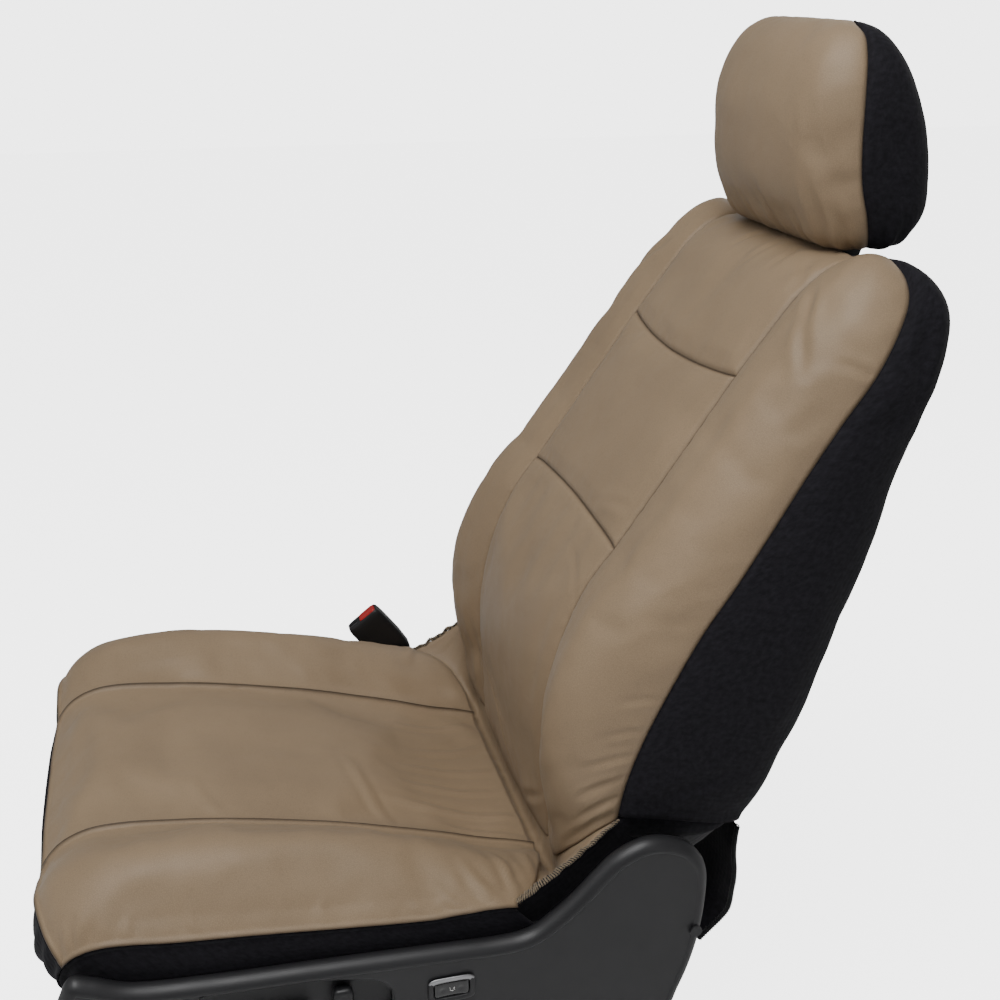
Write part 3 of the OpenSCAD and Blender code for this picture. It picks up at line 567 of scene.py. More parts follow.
# sewn: which of the edges span start, span end, first row, last row are sewn down
# a crease is ring, row, end ring, end row, depth, width, the last two in millimetres
panels = {
    "back_lower_panel": {
        "body": "back", "span": (-2, 2), "rows": (0, 8), "node": "back_cover_lower_panel",
        "sewn": (1, 1, 0, 1), "crown": 0.002, "grow": 0.012, "push": 1.2,
        "creases": [(-1.3, 2.6, 0.6, 0.6, 1.3, 4), (-1.8, 0.9, -0.8, 0.5, 1.0, 4),
                    (1.0, 0.4, 1.85, 1.3, 1.2, 4),
                    (1.1, 7.2, 1.85, 6.6, 0.8, 4)]},
    "back_middle_panel": {
        "body": "back", "span": (-2, 2), "rows": (8, 12), "node": "back_cover_middle_panel",
        "sewn": (1, 1, 1, 1), "crown": 0.002, "grow": 0.012, "push": 1.2,
        "creases": [(0.9, 8.3, 1.9, 8.9, 0.8, 4), (-1.9, 11.2, -1.2, 11.8, 0.8, 4)]},
    "back_upper_panel": {
        "body": "back", "span": (-2, 2), "rows": (12, 19), "node": "back_cover_upper_panel",
        "sewn": (1, 1, 1, 1), "crown": 0.002, "grow": 0.014, "push": 1.2,
        "creases": [(0.5, 16.4, 0.35, 14.6, 1.6, 4), (0.9, 16.6, 1.05, 15.0, 1.4, 4),
                    (-0.4, 16.6, -0.5, 15.3, 1.2, 4), (1.3, 16.2, 1.9, 14.4, 1.1, 5)]},
    "back_bolster_left": {
        "body": "back", "span": (2, 6), "rows": (0, 19), "node": "back_cover_bolster_left",
        "sewn": (1, 1, 0, 1), "grow": 0.014, "push": 0.9,
        "creases": [(3.1, 14.3, 4.7, 12.6, 1.9, 5), (5.9, 12.9, 5.2, 13.1, 1.6, 4),
                    (2.5, 14.8, 3.6, 13.9, 1.3, 5),
                    (5.95, 1.0, 4.9, 0.8, 1.1, 3.2), (5.95, 1.7, 5.0, 1.6, 1.0, 3.2),
                    (5.95, 2.5, 5.1, 2.6, 0.9, 3.2),
                    (5.95, 3.4, 5.2, 3.5, 0.8, 3.2), (5.9, 0.35, 4.6, 0.25, 1.5, 3.6),
                    (5.95, 4.4, 5.3, 4.6, 0.7, 3.2), (2.2, 0.5, 2.6, 3.0, 1.2, 5)]},
    "back_bolster_right": {
        "body": "back", "span": (-6, -2), "rows": (0, 19), "node": "back_cover_bolster_right",
        "sewn": (1, 1, 0, 1), "grow": 0.014, "push": 0.9,
        "creases": [(-3.2, 14.0, -4.5, 12.6, 1.5, 5), (-5.95, 1.2, -5.0, 1.0, 1.1, 3.2),
                    (-5.95, 2.4, -5.1, 2.3, 1.0, 3.2), (-2.2, 0.5, -2.6, 3.0, 1.2, 5)]},
    "cushion_centre": {
        "body": "cushion", "span": (-2, 2), "rows": (0, 12), "node": "cushion_cover_centre",
        "sewn": (1, 1, 0, 1), "crown": 0.002, "grow": 0.014, "push": 1.0,
        "creases": [(1.25, 0.2, 1.1, 4.2, 1.5, 4.5), (0.55, 0.3, 0.65, 3.6, 1.2, 4.5),
                    (-0.15, 0.3, 0.15, 3.4, 1.1, 4.5),
                    (-0.9, 0.3, -0.5, 3.0, 1.2, 4.5), (1.75, 0.3, 1.55, 2.8, 1.3, 4),
                    (0.3, 4.6, 1.8, 4.1, 1.1, 5),
                    (-1.5, 0.6, -1.3, 3.4, 0.9, 4.5), (1.0, 6.6, 1.9, 6.1, 0.8, 5)]},
    "cushion_bolster_left": {
        "body": "cushion", "span": (2, 6), "rows": (0, 12), "node": "cushion_cover_bolster_left",
        "sewn": (1, 1, 0, 1), "grow": 0.016, "push": 0.9,
        "creases": [(5.4, 0.3, 3.6, 1.6, 2.2, 4.5), (5.7, 0.7, 4.4, 2.3, 1.8, 4.5),
                    (5.9, 1.4, 5.0, 3.0, 1.4, 4),
                    (5.9, 2.6, 5.3, 3.4, 1.1, 3.5), (4.6, 0.1, 3.2, 0.7, 1.6, 4.5),
                    (5.9, 4.4, 5.3, 4.7, 0.9, 3.5),
                    (5.9, 6.2, 5.2, 6.5, 0.8, 3.5), (5.9, 8.1, 5.3, 8.0, 0.8, 3.5),
                    (5.9, 10.4, 5.0, 9.6, 1.2, 4),
                    (5.9, 11.2, 5.2, 10.6, 1.0, 3.5)]},
    "cushion_bolster_right": {
        "body": "cushion", "span": (-6, -2), "rows": (0, 12), "node": "cushion_cover_bolster_right",
        "sewn": (1, 1, 0, 1), "grow": 0.016, "push": 0.9,
        "creases": [(-5.6, 0.4, -3.8, 1.8, 1.8, 4.5), (-5.9, 1.4, -5.0, 2.8, 1.4, 4),
                    (-5.9, 5.2, -5.2, 5.6, 0.9, 4),
                    (-5.9, 10.4, -5.0, 9.6, 1.1, 4)]},
    "cushion_front_band": {
        "body": "cushion", "span": (-6, 6), "rows": (12, 16), "node": "cushion_cover_front_band",
        "sewn": (1, 1, 1, 0), "grow": 0.02, "push": 0.8, "look": "knit",
        "creases": [(4.6, 12.4, 4.2, 15.0, 1.6, 5), (5.2, 12.3, 5.4, 14.6, 1.4, 5),
                    (-4.8, 12.4, -4.3, 15.0, 1.6, 5)]},
    "headrest_front": {
        "body": "head", "span": (-4, 4), "rows": (1, 10), "node": "headrest_cover_front",
        "sewn": (1, 1, 0, 1), "crown": 0.0015, "grow": 0.014, "push": 0.9,
        "creases": [(-2.6, 1.3, -2.2, 4.0, 1.8, 5), (-1.7, 1.2, -1.4, 3.4, 1.7, 4.5),
                    (-0.6, 1.2, -0.5, 3.0, 1.4, 5),
                    (0.5, 1.2, 0.35, 3.6, 1.6, 5), (1.4, 1.2, 1.3, 3.0, 1.5, 4.5),
                    (2.3, 1.2, 2.0, 4.2, 1.7, 5),
                    (3.1, 1.2, 2.8, 3.2, 1.6, 4), (1.9, 6.6, 2.3, 4.4, 0.8, 6)]},
    "headrest_back": {
        "body": "head", "span": (4, 14), "rows": (1, 10), "node": "headrest_cover_back",
        "sewn": (1, 1, 0, 1), "grow": 0.012, "push": 0.9, "look": "knit",
        "creases": [(4.6, 1.2, 4.8, 3.4, 1.3, 5), (5.5, 1.2, 5.4, 2.8, 1.3, 5)]},
    "back_side_and_rear": {
        "body": "back", "span": (6, 16), "rows": (0, 19), "node": "back_cover_rear",
        "sewn": (1, 1, 0, 1), "grow": 0.010, "push": 0.7, "look": "knit", "step": 0.0055,
        "creases": [(6.4, 0.6, 7.6, 2.4, 1.4, 7), (6.6, 15.6, 7.6, 12.6, 1.6, 7)]},
}
buckleSide = -0.2638  # the cover stays clear of the buckle as it swings
hang = {"drop": 0.008, "below": 0.644, "over": 0.03}  # the headrest cover's lower edge
# the last two entries set the painted shade along the seams: how dark it is and how wide it falls
pattern = {"step": 0.0038, "thick": 0.0022, "soft": 0.0011, "groove": 0.0030, "grooveWidth": 0.0030,
           "dip": 0.0014, "dipWidth": 0.010, "seamPaintedShade": 0.85, "seamShadeWidth": 0.0014}
pucker = {"height": 0.0009, "reach": 0.012, "clear": 0.003, "wide": 0.011, "narrow": 0.0055, "groups": 0.07}
# the fold along the rear panel's lower edge
fold = {"at": 0.006, "width": 0.004, "rise": 0.0022, "tuck": 0.0035, "tuckWidth": 0.0028}


def creaseField(P, body, creases):
    h = np.zeros(P.shape[:2])
    for t0, j0, t1, j1, depth, width in creases:
        f = np.linspace(0, 1, 40)
        bow = 0.05 * np.sin(math.pi * f)
        line = onCover(body, mixed(t0, t1, f) + bow, mixed(j0, j1, f) + bow)
        gaps = np.linalg.norm(P[:, :, None] - line, axis=3)
        near = gaps.argmin(axis=2)
        dist = gaps.min(axis=2)
        fade = np.sin(np.pi * np.clip(f[near] * 0.9 + 0.06, 0, 1)) ** 0.7
        w = width / 1000
        valley = -np.exp(-(dist / w) ** 2) + 0.6 * np.exp(-((dist - 2.1 * w) / w) ** 2)
        h += fade * 1.25 * depth / 1000 * valley
    return h


def settledCloth(items):
    # one simulation for every panel; gives each panel's height above its pattern surface on a coarse grid
    made = {}
    for name, panel in items.items():
        ts, js, P = gridFor(panel["body"], panel["span"], panel["rows"], cloth["step"], (0, 0, 0, 0))
        nj, ni = P.shape[:2]
        N = gridNormals(P)
        obj = linkMesh("cloth_" + name, P.reshape(-1, 3), gridFaces(nj, ni), [])
        pins = np.zeros((nj, ni), bool)
        pins[:, 0] = pins[:, -1] = pins[0] = pins[-1] = True
        group = obj.vertex_groups.new(name="pins")
        group.add([int(k) for k in np.flatnonzero(pins.ravel())], 1.0, "REPLACE")
        settings = obj.modifiers.new("cloth", "CLOTH").settings
        settings.quality = 4
        settings.mass = cloth["mass"]
        settings.tension_stiffness = settings.compression_stiffness = cloth["tension"]
        settings.shear_stiffness = cloth["tension"] / 2
        settings.bending_stiffness = cloth["bending"]
        settings.vertex_group_mass = "pins"
        settings.shrink_min = -panel["grow"]
        settings.use_pressure = True
        settings.uniform_pressure_force = panel["push"]
        settings.effector_weights.gravity = 0
        made[name] = (obj, ts, js, P, N)
    scene = bpy.context.scene
    for f in range(1, cloth["frames"] + 1):
        scene.frame_set(f)
    graph = bpy.context.evaluated_depsgraph_get()
    heights = {}
    for name, (obj, ts, js, P, N) in made.items():
        moved = obj.evaluated_get(graph).to_mesh()
        co = np.empty(len(moved.vertices) * 3)
        moved.vertices.foreach_get("co", co)
        d = ((co.reshape(P.shape) - P) * N).sum(axis=2)
        heights[name] = (ts, js, cloth["most"] * np.tanh(d / cloth["most"]))
    for entry in made.values():
        bpy.data.objects.remove(entry[0])
    scene.frame_set(1)
    return heights


heights = settledCloth(panels)
print("cloth settled", {k: round(float(np.abs(v[2]).max()) * 1000, 1) for k, v in heights.items()})


def blurred(h, times):
    for i in range(times):
        h = (np.pad(h, 1, "edge")[:-2, 1:-1] + np.pad(h, 1, "edge")[2:, 1:-1] + 2 * h) / 4
        h = (np.pad(h, 1, "edge")[1:-1, :-2] + np.pad(h, 1, "edge")[1:-1, 2:] + 2 * h) / 4
    return h


def clothHeight(name, ts, js):
    if name not in heights:
        return 0.0
    ct, cj, h = heights[name]
    across = np.array([np.interp(ts, ct, row) for row in blurred(h, 1)])
    return np.array([np.interp(js, cj, column) for column in across.T]).T


for number, (name, panel) in enumerate(panels.items()):
    seed = 1.7 + 3.1 * number
    sewn = panel["sewn"]
    ts, js, P = gridFor(panel["body"], panel["span"], panel["rows"], panel.get("step", pattern["step"]),
                        sewn)
    N = gridNormals(P)
    if panel["body"] == "back":
        # the rows crowd together at the top, so the normals there are evened out
        even = np.stack([blurred(N[..., k], 6) for k in range(3)], 2)
        even /= np.linalg.norm(even, axis=2, keepdims=True)
        N = mixed(N, even, eased((js - 15) / 2)[:, None, None])
        N /= np.linalg.norm(N, axis=2, keepdims=True)
    U, V, U2, V2 = edgeDistances(P)
    far = np.full(U.shape, 9.0)
    ds = [d if s else far for d, s in zip((U, U2, V, V2), sewn)]
    near = np.minimum.reduce(ds)
    h = clothHeight(name, ts, js) * np.clip(near / 0.02, 0.15, 1)
    for k, (d, along) in enumerate(zip(ds, (V, V, U, U))):
        if d[0, 0] > 8:
            continue
        beat = lineNoise(along, pucker["wide"], seed + k * 3.1)
        beat = beat + 0.6 * lineNoise(along, pucker["narrow"], seed + k * 7.7)
        strong = 0.55 + 0.9 * np.clip(lineNoise(along, pucker["groups"], seed + k * 1.3) + 0.3, 0, 1)
        shape = np.exp(-d / pucker["reach"]) * (1 - np.exp(-(d / pucker["clear"]) ** 2))
        h = h + pucker["height"] * beat * strong * shape
    h = h - pattern["dip"] * np.exp(-(near / pattern["dipWidth"]) ** 2)
    closing = 0.25 + 0.75 * eased(V / 0.03) if panel["body"] == "head" else 1.0
    h = h - pattern["groove"] * np.exp(-(near / pattern["grooveWidth"]) ** 2) * closing
    h = h + panel.get("crown", 0.0) * np.sin(np.pi * np.clip(U / (U + U2), 0, 1)) ** 0.8
    soft = pattern["soft"]
    h = h + soft * cellNoise(P, 0.055, seed) * np.clip(near / 0.03, 0, 1)
    h = h + 0.35 * soft * cellNoise(P, 0.018, seed + 5) * np.clip(near / 0.02, 0, 1)
    h = h + creaseField(P, panel["body"], panel["creases"]) * np.clip(near / 0.008, 0, 1)
    if name == "back_side_and_rear":
        # the lower edge turns under in a fold
        h = h + fold["rise"] * np.exp(-((V - fold["at"]) / fold["width"]) ** 2)
        h = h - fold["tuck"] * np.exp(-(V / fold["tuckWidth"]) ** 2)
    look = panel.get("look", "leatherette")
    final = P + N * h[..., None]
    if panel["body"] == "head":
        # the elastic pulls the cover's lower edge down
        height = final[..., 2] - creaseHeight
        final[..., 2] -= hang["drop"] * eased((hang["below"] - height) / hang["over"])
    if panel["body"] == "cushion":
        final[..., 0] = np.maximum(final[..., 0], buckleSide)
    obj = clothMesh(name, final, U, V, looks[look], pattern["thick"])
    # painted shade: how strongly the leatherette's colour is darkened near each seam, as if shade fell in
    # the groove
    seam = obj.data.attributes.new("seam", "FLOAT", "POINT")
    dark = pattern["seamPaintedShade"] * np.exp(-(near / pattern["seamShadeWidth"]) ** 2)
    seam.data.foreach_set("value", dark.ravel().astype(np.float32))
    put(obj, rides[panel["body"]], look, panel["node"])
print("cover panels made")

# narrow cloth without a simulation
skirts = {
    "cushion_skirt_left": {"body": "cushion", "span": (6, 9), "rows": (0, 16), "sewn": (1, 0, 0, 0),
                          "node": "cushion_cover_side_skirts"},
    "cushion_skirt_right": {"body": "cushion", "span": (-9, -6), "rows": (0, 16), "sewn": (0, 1, 0, 0),
                           "node": "cushion_cover_side_skirts"},
    "back_hem": {"body": "back", "span": (6, 16), "rows": (-1.15, 0), "sewn": (0, 0, 0, 0),
                 "node": "back_cover_hem"},
}
for number, (name, part) in enumerate(skirts.items()):
    ts, js, P = gridFor(part["body"], part["span"], part["rows"], 0.005, part["sewn"])
    N = gridNormals(P)
    U, V, U2, V2 = edgeDistances(P)
    far = np.full(U.shape, 9.0)
    near = np.minimum.reduce([d if s else far for d, s in zip((U, U2, V, V2), part["sewn"])])
    h = -0.0030 * np.exp(-(near / 0.003) ** 2) + 0.0012 * cellNoise(P, 0.045, 7.0 + number)
    if name == "back_hem":
        h = h - 0.0042 + 0.0012 * lineNoise(U, 0.05, 2.0) - 0.002 * np.exp(-(V / 0.003) ** 2)
    else:
        across = U2 if name.endswith("left") else U
        gathers = lineNoise(V, 0.014, 4.0 + number) + 0.5 * lineNoise(V, 0.006, 9.0 + number)
        h = h + 0.0016 * gathers * np.exp(-across / 0.016)
        h = h + 0.0006 * lineNoise(V, 0.012, 1.0) * np.exp(-near / 0.02)
        side = 1 if name.endswith("left") else -1
        h = h + creaseField(P, "cushion", [(6.1 * side, 11.0, 7.2 * side, 12.6, 1.6, 5)])
    final = P + N * h[..., None]
    if part["body"] == "cushion":
        final[..., 0] = np.maximum(final[..., 0], buckleSide)
    obj = clothMesh(name, final, U, V, blackKnit, 0.0018)
    put(obj, rides[part["body"]], "knit", part["node"])
print("skirts and hem made")

# the cloth that dives into the crease and joins the two covers
strip = {"ring": 6, "fold": (-1, -20), "thick": 0.0018, "from": (0, -4.6, -5.3), "to": (0, 7.8, 9.0),
         "tuck": 0.0016}


def stripPoints(t, f):
    a, b = onCover("cushion", t, np.full(t.shape, 0.06)), onCover("back", t, np.full(t.shape, 0.05))
    deep = np.repeat(placed([(0, *strip["fold"])]), len(t), axis=0)
    deep[:, 0] = (a[:, 0] + b[:, 0]) / 2
    middle = mixed(a, b, 0.5) - np.array([0, -0.004, 0.004])
    share = eased((np.abs(t) - 2.8) / 3.0)[:, None]
    c = mixed(deep, middle, share)
    f = f[:, None]
    return a * (1 - f) ** 2 + 2 * c * f * (1 - f) + b * f * f


tt, ff = np.linspace(-strip["ring"], strip["ring"], 241), np.linspace(0, 1, 22)
T, F = np.meshgrid(tt, ff)
P = stripPoints(T.ravel(), F.ravel()).reshape(*T.shape, 3)
N = gridNormals(P)
U, V, U2, V2 = edgeDistances(P)
middle = np.sin(np.pi * F)
h = -strip["tuck"] + 0.0012 * lineNoise(U, 0.013, 3.3) * middle + 0.0007 * lineNoise(U, 0.006, 8.1) * middle
creaseStrip = clothMesh("crease_strip", P + N * h[..., None], U, V, beigeSkin, strip["thick"])
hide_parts("cushion_cover_crease_strip")
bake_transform(creaseStrip)

# black cloth below the serged edge, from the skirt to the hem
for side, label in ((1, "left"), (-1, "right")):
    share, F = np.meshgrid(np.linspace(0, 1, 34), np.linspace(0, 1, 40))
    top = stripPoints(np.full(F.size, 6.0 * side), F.ravel())
    low = mixed(onCover("cushion", np.full(F.size, 8.8 * side), np.full(F.size, 0.25)),
                onCover("back", np.full(F.size, 8.8 * side), np.full(F.size, 0.05)), F.ravel()[:, None])
    P = mixed(top, low, share.ravel()[:, None]).reshape(*F.shape, 3)
    P[..., 0] -= side * 0.0015
    P[..., 2] -= 0.0045 * np.sin(np.pi * np.clip(F, 0.12, 0.88))
    N = gridNormals(P)
    P = P + N * (0.0016 * cellNoise(P, 0.03, 3.0) * np.sin(np.pi * F))[..., None]
    U, V, U2, V2 = edgeDistances(P)
    gusset = clothMesh("cover_gusset_" + label, P, U, V, blackKnit, 0.0016)
    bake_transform(gusset)
print("crease strip made")

serging = {"pitch": 0.0027, "reach": 0.0032, "rise": 0.0019, "thread": 0.00055, "lean": 0.25}


def sergedThreads(path, inward, normal):
    # two threads that wind round a cloth edge, and a rolled edge inside them
    along = lengthAlong(path)
    count = int(along[-1] / serging["pitch"])
    at = np.linspace(0, along[-1], count * 10)
    pick = lambda rows: np.stack([np.interp(at, along, rows[:, k]) for k in range(3)], 1)
    base, across, up = pick(path), pick(inward), pick(normal)
    parts = []
    for kind, phase, size, swell in ((0, 0.0, 1.0, 1.0), (1, math.pi, 0.8, 0.9),
                                     (0, math.pi * 0.5, 0.55, 1.12)):
        angle = 2 * math.pi * at / serging["pitch"] + phase
        wander = 1 + 0.16 * np.sin(at * 910 + phase) + 0.12 * np.sin(at * 2350)
        reach = serging["reach"] * size * wander
        line = base + across * (reach * (1 - np.cos(angle)) - 0.0012)[:, None]
        line = line + up * (serging["rise"] * swell * np.sin(angle) + 0.0004)[:, None]
        parts.append((tubeRings(line, serging["thread"] * (1.1 if kind == 0 else 0.9), 5), kind))
    core = base[::10] + across[::10] * 0.0008
    parts.append((tubeRings(core, 0.0016, 8), 1))
    return parts


def edgeFrame(path, other):
    # unit vectors into the cloth and out of it, for an edge path and a second path just inside it
    inward = other - path
    inward /= np.linalg.norm(inward, axis=1, keepdims=True)
    along = np.gradient(path, axis=0)
    normal = np.cross(along, inward)
    return inward, normal / np.linalg.norm(normal, axis=1, keepdims=True)


for side, label in ((1, "left"), (-1, "right")):
    f = np.linspace(0, 1, 60)
    edge = stripPoints(np.full(60, 6.0 * side), f)
    inner = stripPoints(np.full(60, 5.7 * side), f)
    inward, normal = edgeFrame(edge, inner)
    if (normal.mean(axis=0) * [side, 0, 0]).sum() < 0:
        normal = -normal
    ripple = 0.0010 * np.sin(f * 31) + 0.0008 * np.sin(f * 57 + 1)
    edge = edge + normal * ripple[:, None]
    obj = joined("serged_edge_" + label, sergedThreads(edge, inward, normal),
                 [looks["thread"], blackThread])
    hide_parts("cushion_cover_serged_edges" if side > 0 else "back_cover_serged_edges")
    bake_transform(obj)
print("serged edges made")

# loose flap below the hem at the back
flap = {"route": [(173, 57), (172, 45), (171.5, 30), (173.5, 8), (174, -8), (172.5, -26), (169, -44),
                  (157, -59), (140, -76)],
        "half": 222, "wave": 3.0, "thick": 0.0022}
route = np.array(flap["route"], float)
fine = throughPoints(route, np.linspace(0, len(route) - 1, 40))
X = np.linspace(-flap["half"], flap["half"], 130)
XX, K = np.meshgrid(X, np.arange(40))
drop = K / 39
P = placed(np.stack([XX, fine[:, 0][K] + 0 * XX, fine[:, 1][K] + 0 * XX], 2))
N = gridNormals(P)
sign = 1 if N[..., 1].mean() > 0 else -1
ripple = lineNoise(XX, 62.0, 5.0) + 0.4 * lineNoise(XX, 21.0, 6.5)
curl = eased((np.abs(XX) - 190) / 30)  # only near the two ends
h = sign * flap["wave"] / 1000 * ripple * drop ** 1.2 + 0.0008 * lineNoise(K * 1.0, 4.0, 2.0) * curl
P = P + N * h[..., None]
U, V, U2, V2 = edgeDistances(P)
flapCloth = clothMesh("rear_flap", P, U, V, blackKnit, flap["thick"])
put(flapCloth, "rear_flap", "knit", "back_cover_flap")
loop = np.concatenate([P[:, 0], P[-1, 1:-1], P[::-1, -1]])
inside = np.concatenate([P[:, 3], P[-4, 1:-1], P[::-1, -4]])
inward, normal = edgeFrame(loop, inside)
flapThread = joined("rear_flap_serged_edge", sergedThreads(loop, inward, normal),
                    [blackThread, blackThread])
put(flapThread, "rear_flap", "thread")
for number, x in enumerate((-160, -30, 100)):
    fit = np.array([[162.6, -47.2], [156, -54.4], [150, -61], [143.6, -67.9]])
    rows = throughPoints(fit, np.linspace(0, 3, 12))
    XX, K = np.meshgrid(np.linspace(x, x + 60, 24), np.arange(12))
    G = placed(np.stack([XX, rows[:, 0][K], rows[:, 1][K]], 2))
    G = G + gridNormals(G) * (0.0003 * cellNoise(G, 0.004, x * 0.1))[..., None]
    U, V, U2, V2 = edgeDistances(G)
    tape = clothMesh("grip_strip_%d" % number, G, U, V, looks["grip_tape"], 0.0012)
    put(tape, "rear_flap", "grip_tape", "back_cover_flap_grip_strips")
print("rear flap made")

# closed bottom of the headrest cover
gather = {"half": (88, 22), "centre": (0, 318), "height": 615.0, "flat": (0.20, 0.06), "area": 0.0075}
ang, rad = np.meshgrid(np.linspace(0, 2 * math.pi, 121)[:-1], np.linspace(0.04, 1, 16))
power = 0.55  # below 1, an ellipse squares off
ex = np.sign(np.cos(ang)) * np.abs(np.cos(ang)) ** power * gather["half"][0] * rad
ey = np.sign(np.sin(ang)) * np.abs(np.sin(ang)) ** power * gather["half"][1] * rad + gather["centre"][1]
ez = gather["height"] + 1.3 * np.sin(ang * 23 + 1.5 * np.sin(ang * 5)) * rad ** 3 + 0 * rad
G = placed(np.stack([ex, ey, ez], 2))
closure = linkMesh("headrest_closure", G.reshape(-1, 3),
                   list(gridFaces(16, 120, True)) + [list(range(120))], [blackKnit])
solid = closure.modifiers.new("thickness", "SOLIDIFY")
solid.thickness = 0.0014
put(closure, "headrest", "knit", "headrest_cover_closure")

# side shields
def smoothLoop(points, count):
    points = np.array(points, float)
    wrapped = np.concatenate([points[-2:], points, points[:3]])
    at = np.linspace(2, len(points) + 2, 1200, endpoint=False)
    dense = throughPoints(wrapped, at)
    along = lengthAlong(np.concatenate([dense, dense[:1]]))
    even = np.linspace(0, along[-1], count, endpoint=False)
    closedLoop = np.concatenate([dense, dense[:1]])
    return np.stack([np.interp(even, along, closedLoop[:, k]) for k in range(2)], 1)


def insetLoop(loop, amount):
    along = np.roll(loop, -2, axis=0) - np.roll(loop, 2, axis=0)
    along /= np.linalg.norm(along, axis=1, keepdims=True)
    across = np.stack([-along[:, 1], along[:, 0]], 1)
    turn = np.sum(loop[:, 0] * np.roll(loop[:, 1], -1) - np.roll(loop[:, 0], -1) * loop[:, 1])
    out = loop + across * amount * (1 if turn > 0 else -1)
    for i in range(4):
        around = (np.roll(out, 1, axis=0) + np.roll(out, -1, axis=0)) / 2
        out = mixed(out, around, 0.5 * min(1, abs(amount) / 12))
    return out


def sideways(loop, x):
    return placed(np.stack([np.full(len(loop), x), loop[:, 0], loop[:, 1]], 1))


def filledFace(outer, holes, x):
    # flat face with holes
    loops = [outer] + holes
    corners, edges = [], []
    for loop in loops:
        first = len(corners)
        corners += [Vector((y, z)) for y, z in loop]
        edges += [(first + i, first + (i + 1) % len(loop)) for i in range(len(loop))]
    flat, _, tris, *_ = geometry.delaunay_2d_cdt(corners, edges, [], 0, 0.0001)
    flat = np.array(flat)

    def within(loop, point):
        a, b = loop, np.roll(loop, -1, axis=0)
        cross = (a[:, 1] > point[1]) != (b[:, 1] > point[1])
        rise = np.where(np.abs(b[:, 1] - a[:, 1]) < 1e-9, 1e-9, b[:, 1] - a[:, 1])
        at = a[:, 0] + (point[1] - a[:, 1]) * (b[:, 0] - a[:, 0]) / rise
        return np.count_nonzero(cross & (at > point[0])) % 2 == 1

    kept = [list(t) for t in tris if sum(within(loop, flat[list(t)].mean(axis=0)) for loop in loops) == 1]
    return sideways(flat, x), kept


shieldLeft = {
    "outline": [(-478, 18), (-474, 42), (-464, 55), (-446, 50), (-412, 37), (-342, 31), (-272, 28),
                (-187, 24), (-130, 21),
                (-90, 19), (-60, 22), (-36, 37), (-14, 56), (4, 75), (24, 93), (53, 104), (82, 99),
                (103, 84), (116, 53),
                (112, -12), (95, -72), (70, -112), (-20, -128), (-273, -133), (-430, -110), (-466, -58)],
    "profile": [(271.0, 3.0), (269.6, 2.0), (272, 0.6), (275, 0.0), (278.5, 0.8), (281.8, 2.5),
                (284.3, 4.7), (285.9, 7.0),
                (286.6, 9.2), (286.5, 10.8), (285.9, 11.8), (285.5, 12.4)],
    "recess": [(-366, 8), (-354, 17), (-300, 16), (-262, 14), (-222, 7), (-202, 1), (-191, -12),
               (-190, -38), (-200, -50),
               (-350, -50), (-364, -38)],
    "lip": [(285.5, -3.0), (285.3, -1.4), (284.4, -0.3), (283, 0.0), (274, 1.5)],
    "bezelHole": [(-155, -9), (-117, -9), (-117, -31), (-155, -31)],
}
shieldRight = {
    "outline": [(-470, -20), (-464, 6), (-440, 12), (-300, 4), (-180, -2), (-176, -46), (-176, -90),
                (-300, -91),
                (-430, -92), (-462, -66)],
    "profile": [(-271, 3.0), (-269.6, 2.0), (-274, 0.5), (-278, 0), (-281.5, 1.2), (-283.8, 3.6),
                (-284.8, 7), (-285, 11),
                (-285, 14)],
}


def shieldShell(name, shield, count, holes, lips):
    loop = smoothLoop(shield["outline"], count)
    rings = [sideways(insetLoop(loop, inset), x) for x, inset in shield["profile"]]
    verts = [np.concatenate(rings)]
    m = len(rings)
    faces = [list(f) for f in gridFaces(m, count, True)]
    base = m * count
    face = insetLoop(loop, shield["profile"][-1][1])
    flat, new = filledFace(face, holes, shield["profile"][-1][0])
    verts.append(flat)
    faces += [[v + base for v in f] for f in new]
    base += len(flat)
    for rim in lips:
        rim = np.array(rim)
        verts.append(rim.reshape(-1, 3))
        faces += [list(f) for f in gridFaces(rim.shape[0], rim.shape[1], True, base)]
        base += rim.shape[0] * rim.shape[1]
    obj = linkMesh(name, np.concatenate(verts), faces, [charcoal])
    mesh = bmesh.new()
    mesh.from_mesh(obj.data)
    bmesh.ops.remove_doubles(mesh, verts=mesh.verts, dist=0.00005)
    bmesh.ops.recalc_face_normals(mesh, faces=mesh.faces)
    face = max(mesh.faces, key=lambda f: f.calc_area())
    if face.normal.x * shield["profile"][-1][0] < 0:
        bmesh.ops.reverse_faces(mesh, faces=mesh.faces)
    for face in mesh.faces:
        face.smooth = abs(face.normal.x) < 0.9995
    mesh.to_mesh(obj.data)
    mesh.free()
    solid = obj.modifiers.new("wall", "SOLIDIFY")
    solid.thickness = 0.0018
    solid.offset = -1
    return obj


recess = smoothLoop(shieldLeft["recess"], 120)
lip = [sideways(insetLoop(recess, inset), x) for x, inset in shieldLeft["lip"]]
hole = np.array(shieldLeft["bezelHole"], float)
hole = np.concatenate([mixed(hole[i], hole[(i + 1) % 4],
                             np.linspace(0, 1, 12)[:-1, None]) for i in range(4)])
holeLip = [sideways(hole, 285.5), sideways(hole, 279.0)]
left = shieldShell("left_shield_shell", shieldLeft, 420, [insetLoop(recess, shieldLeft["lip"][0][1]), hole],
                   [lip, holeLip])
put(left, "cushion", "charcoal_plastic", "side_shield_left")
right = shieldShell("right_shield_shell", shieldRight, 260, [], [])
put(right, "cushion", "charcoal_plastic", "side_shield_right")
print("shields made")


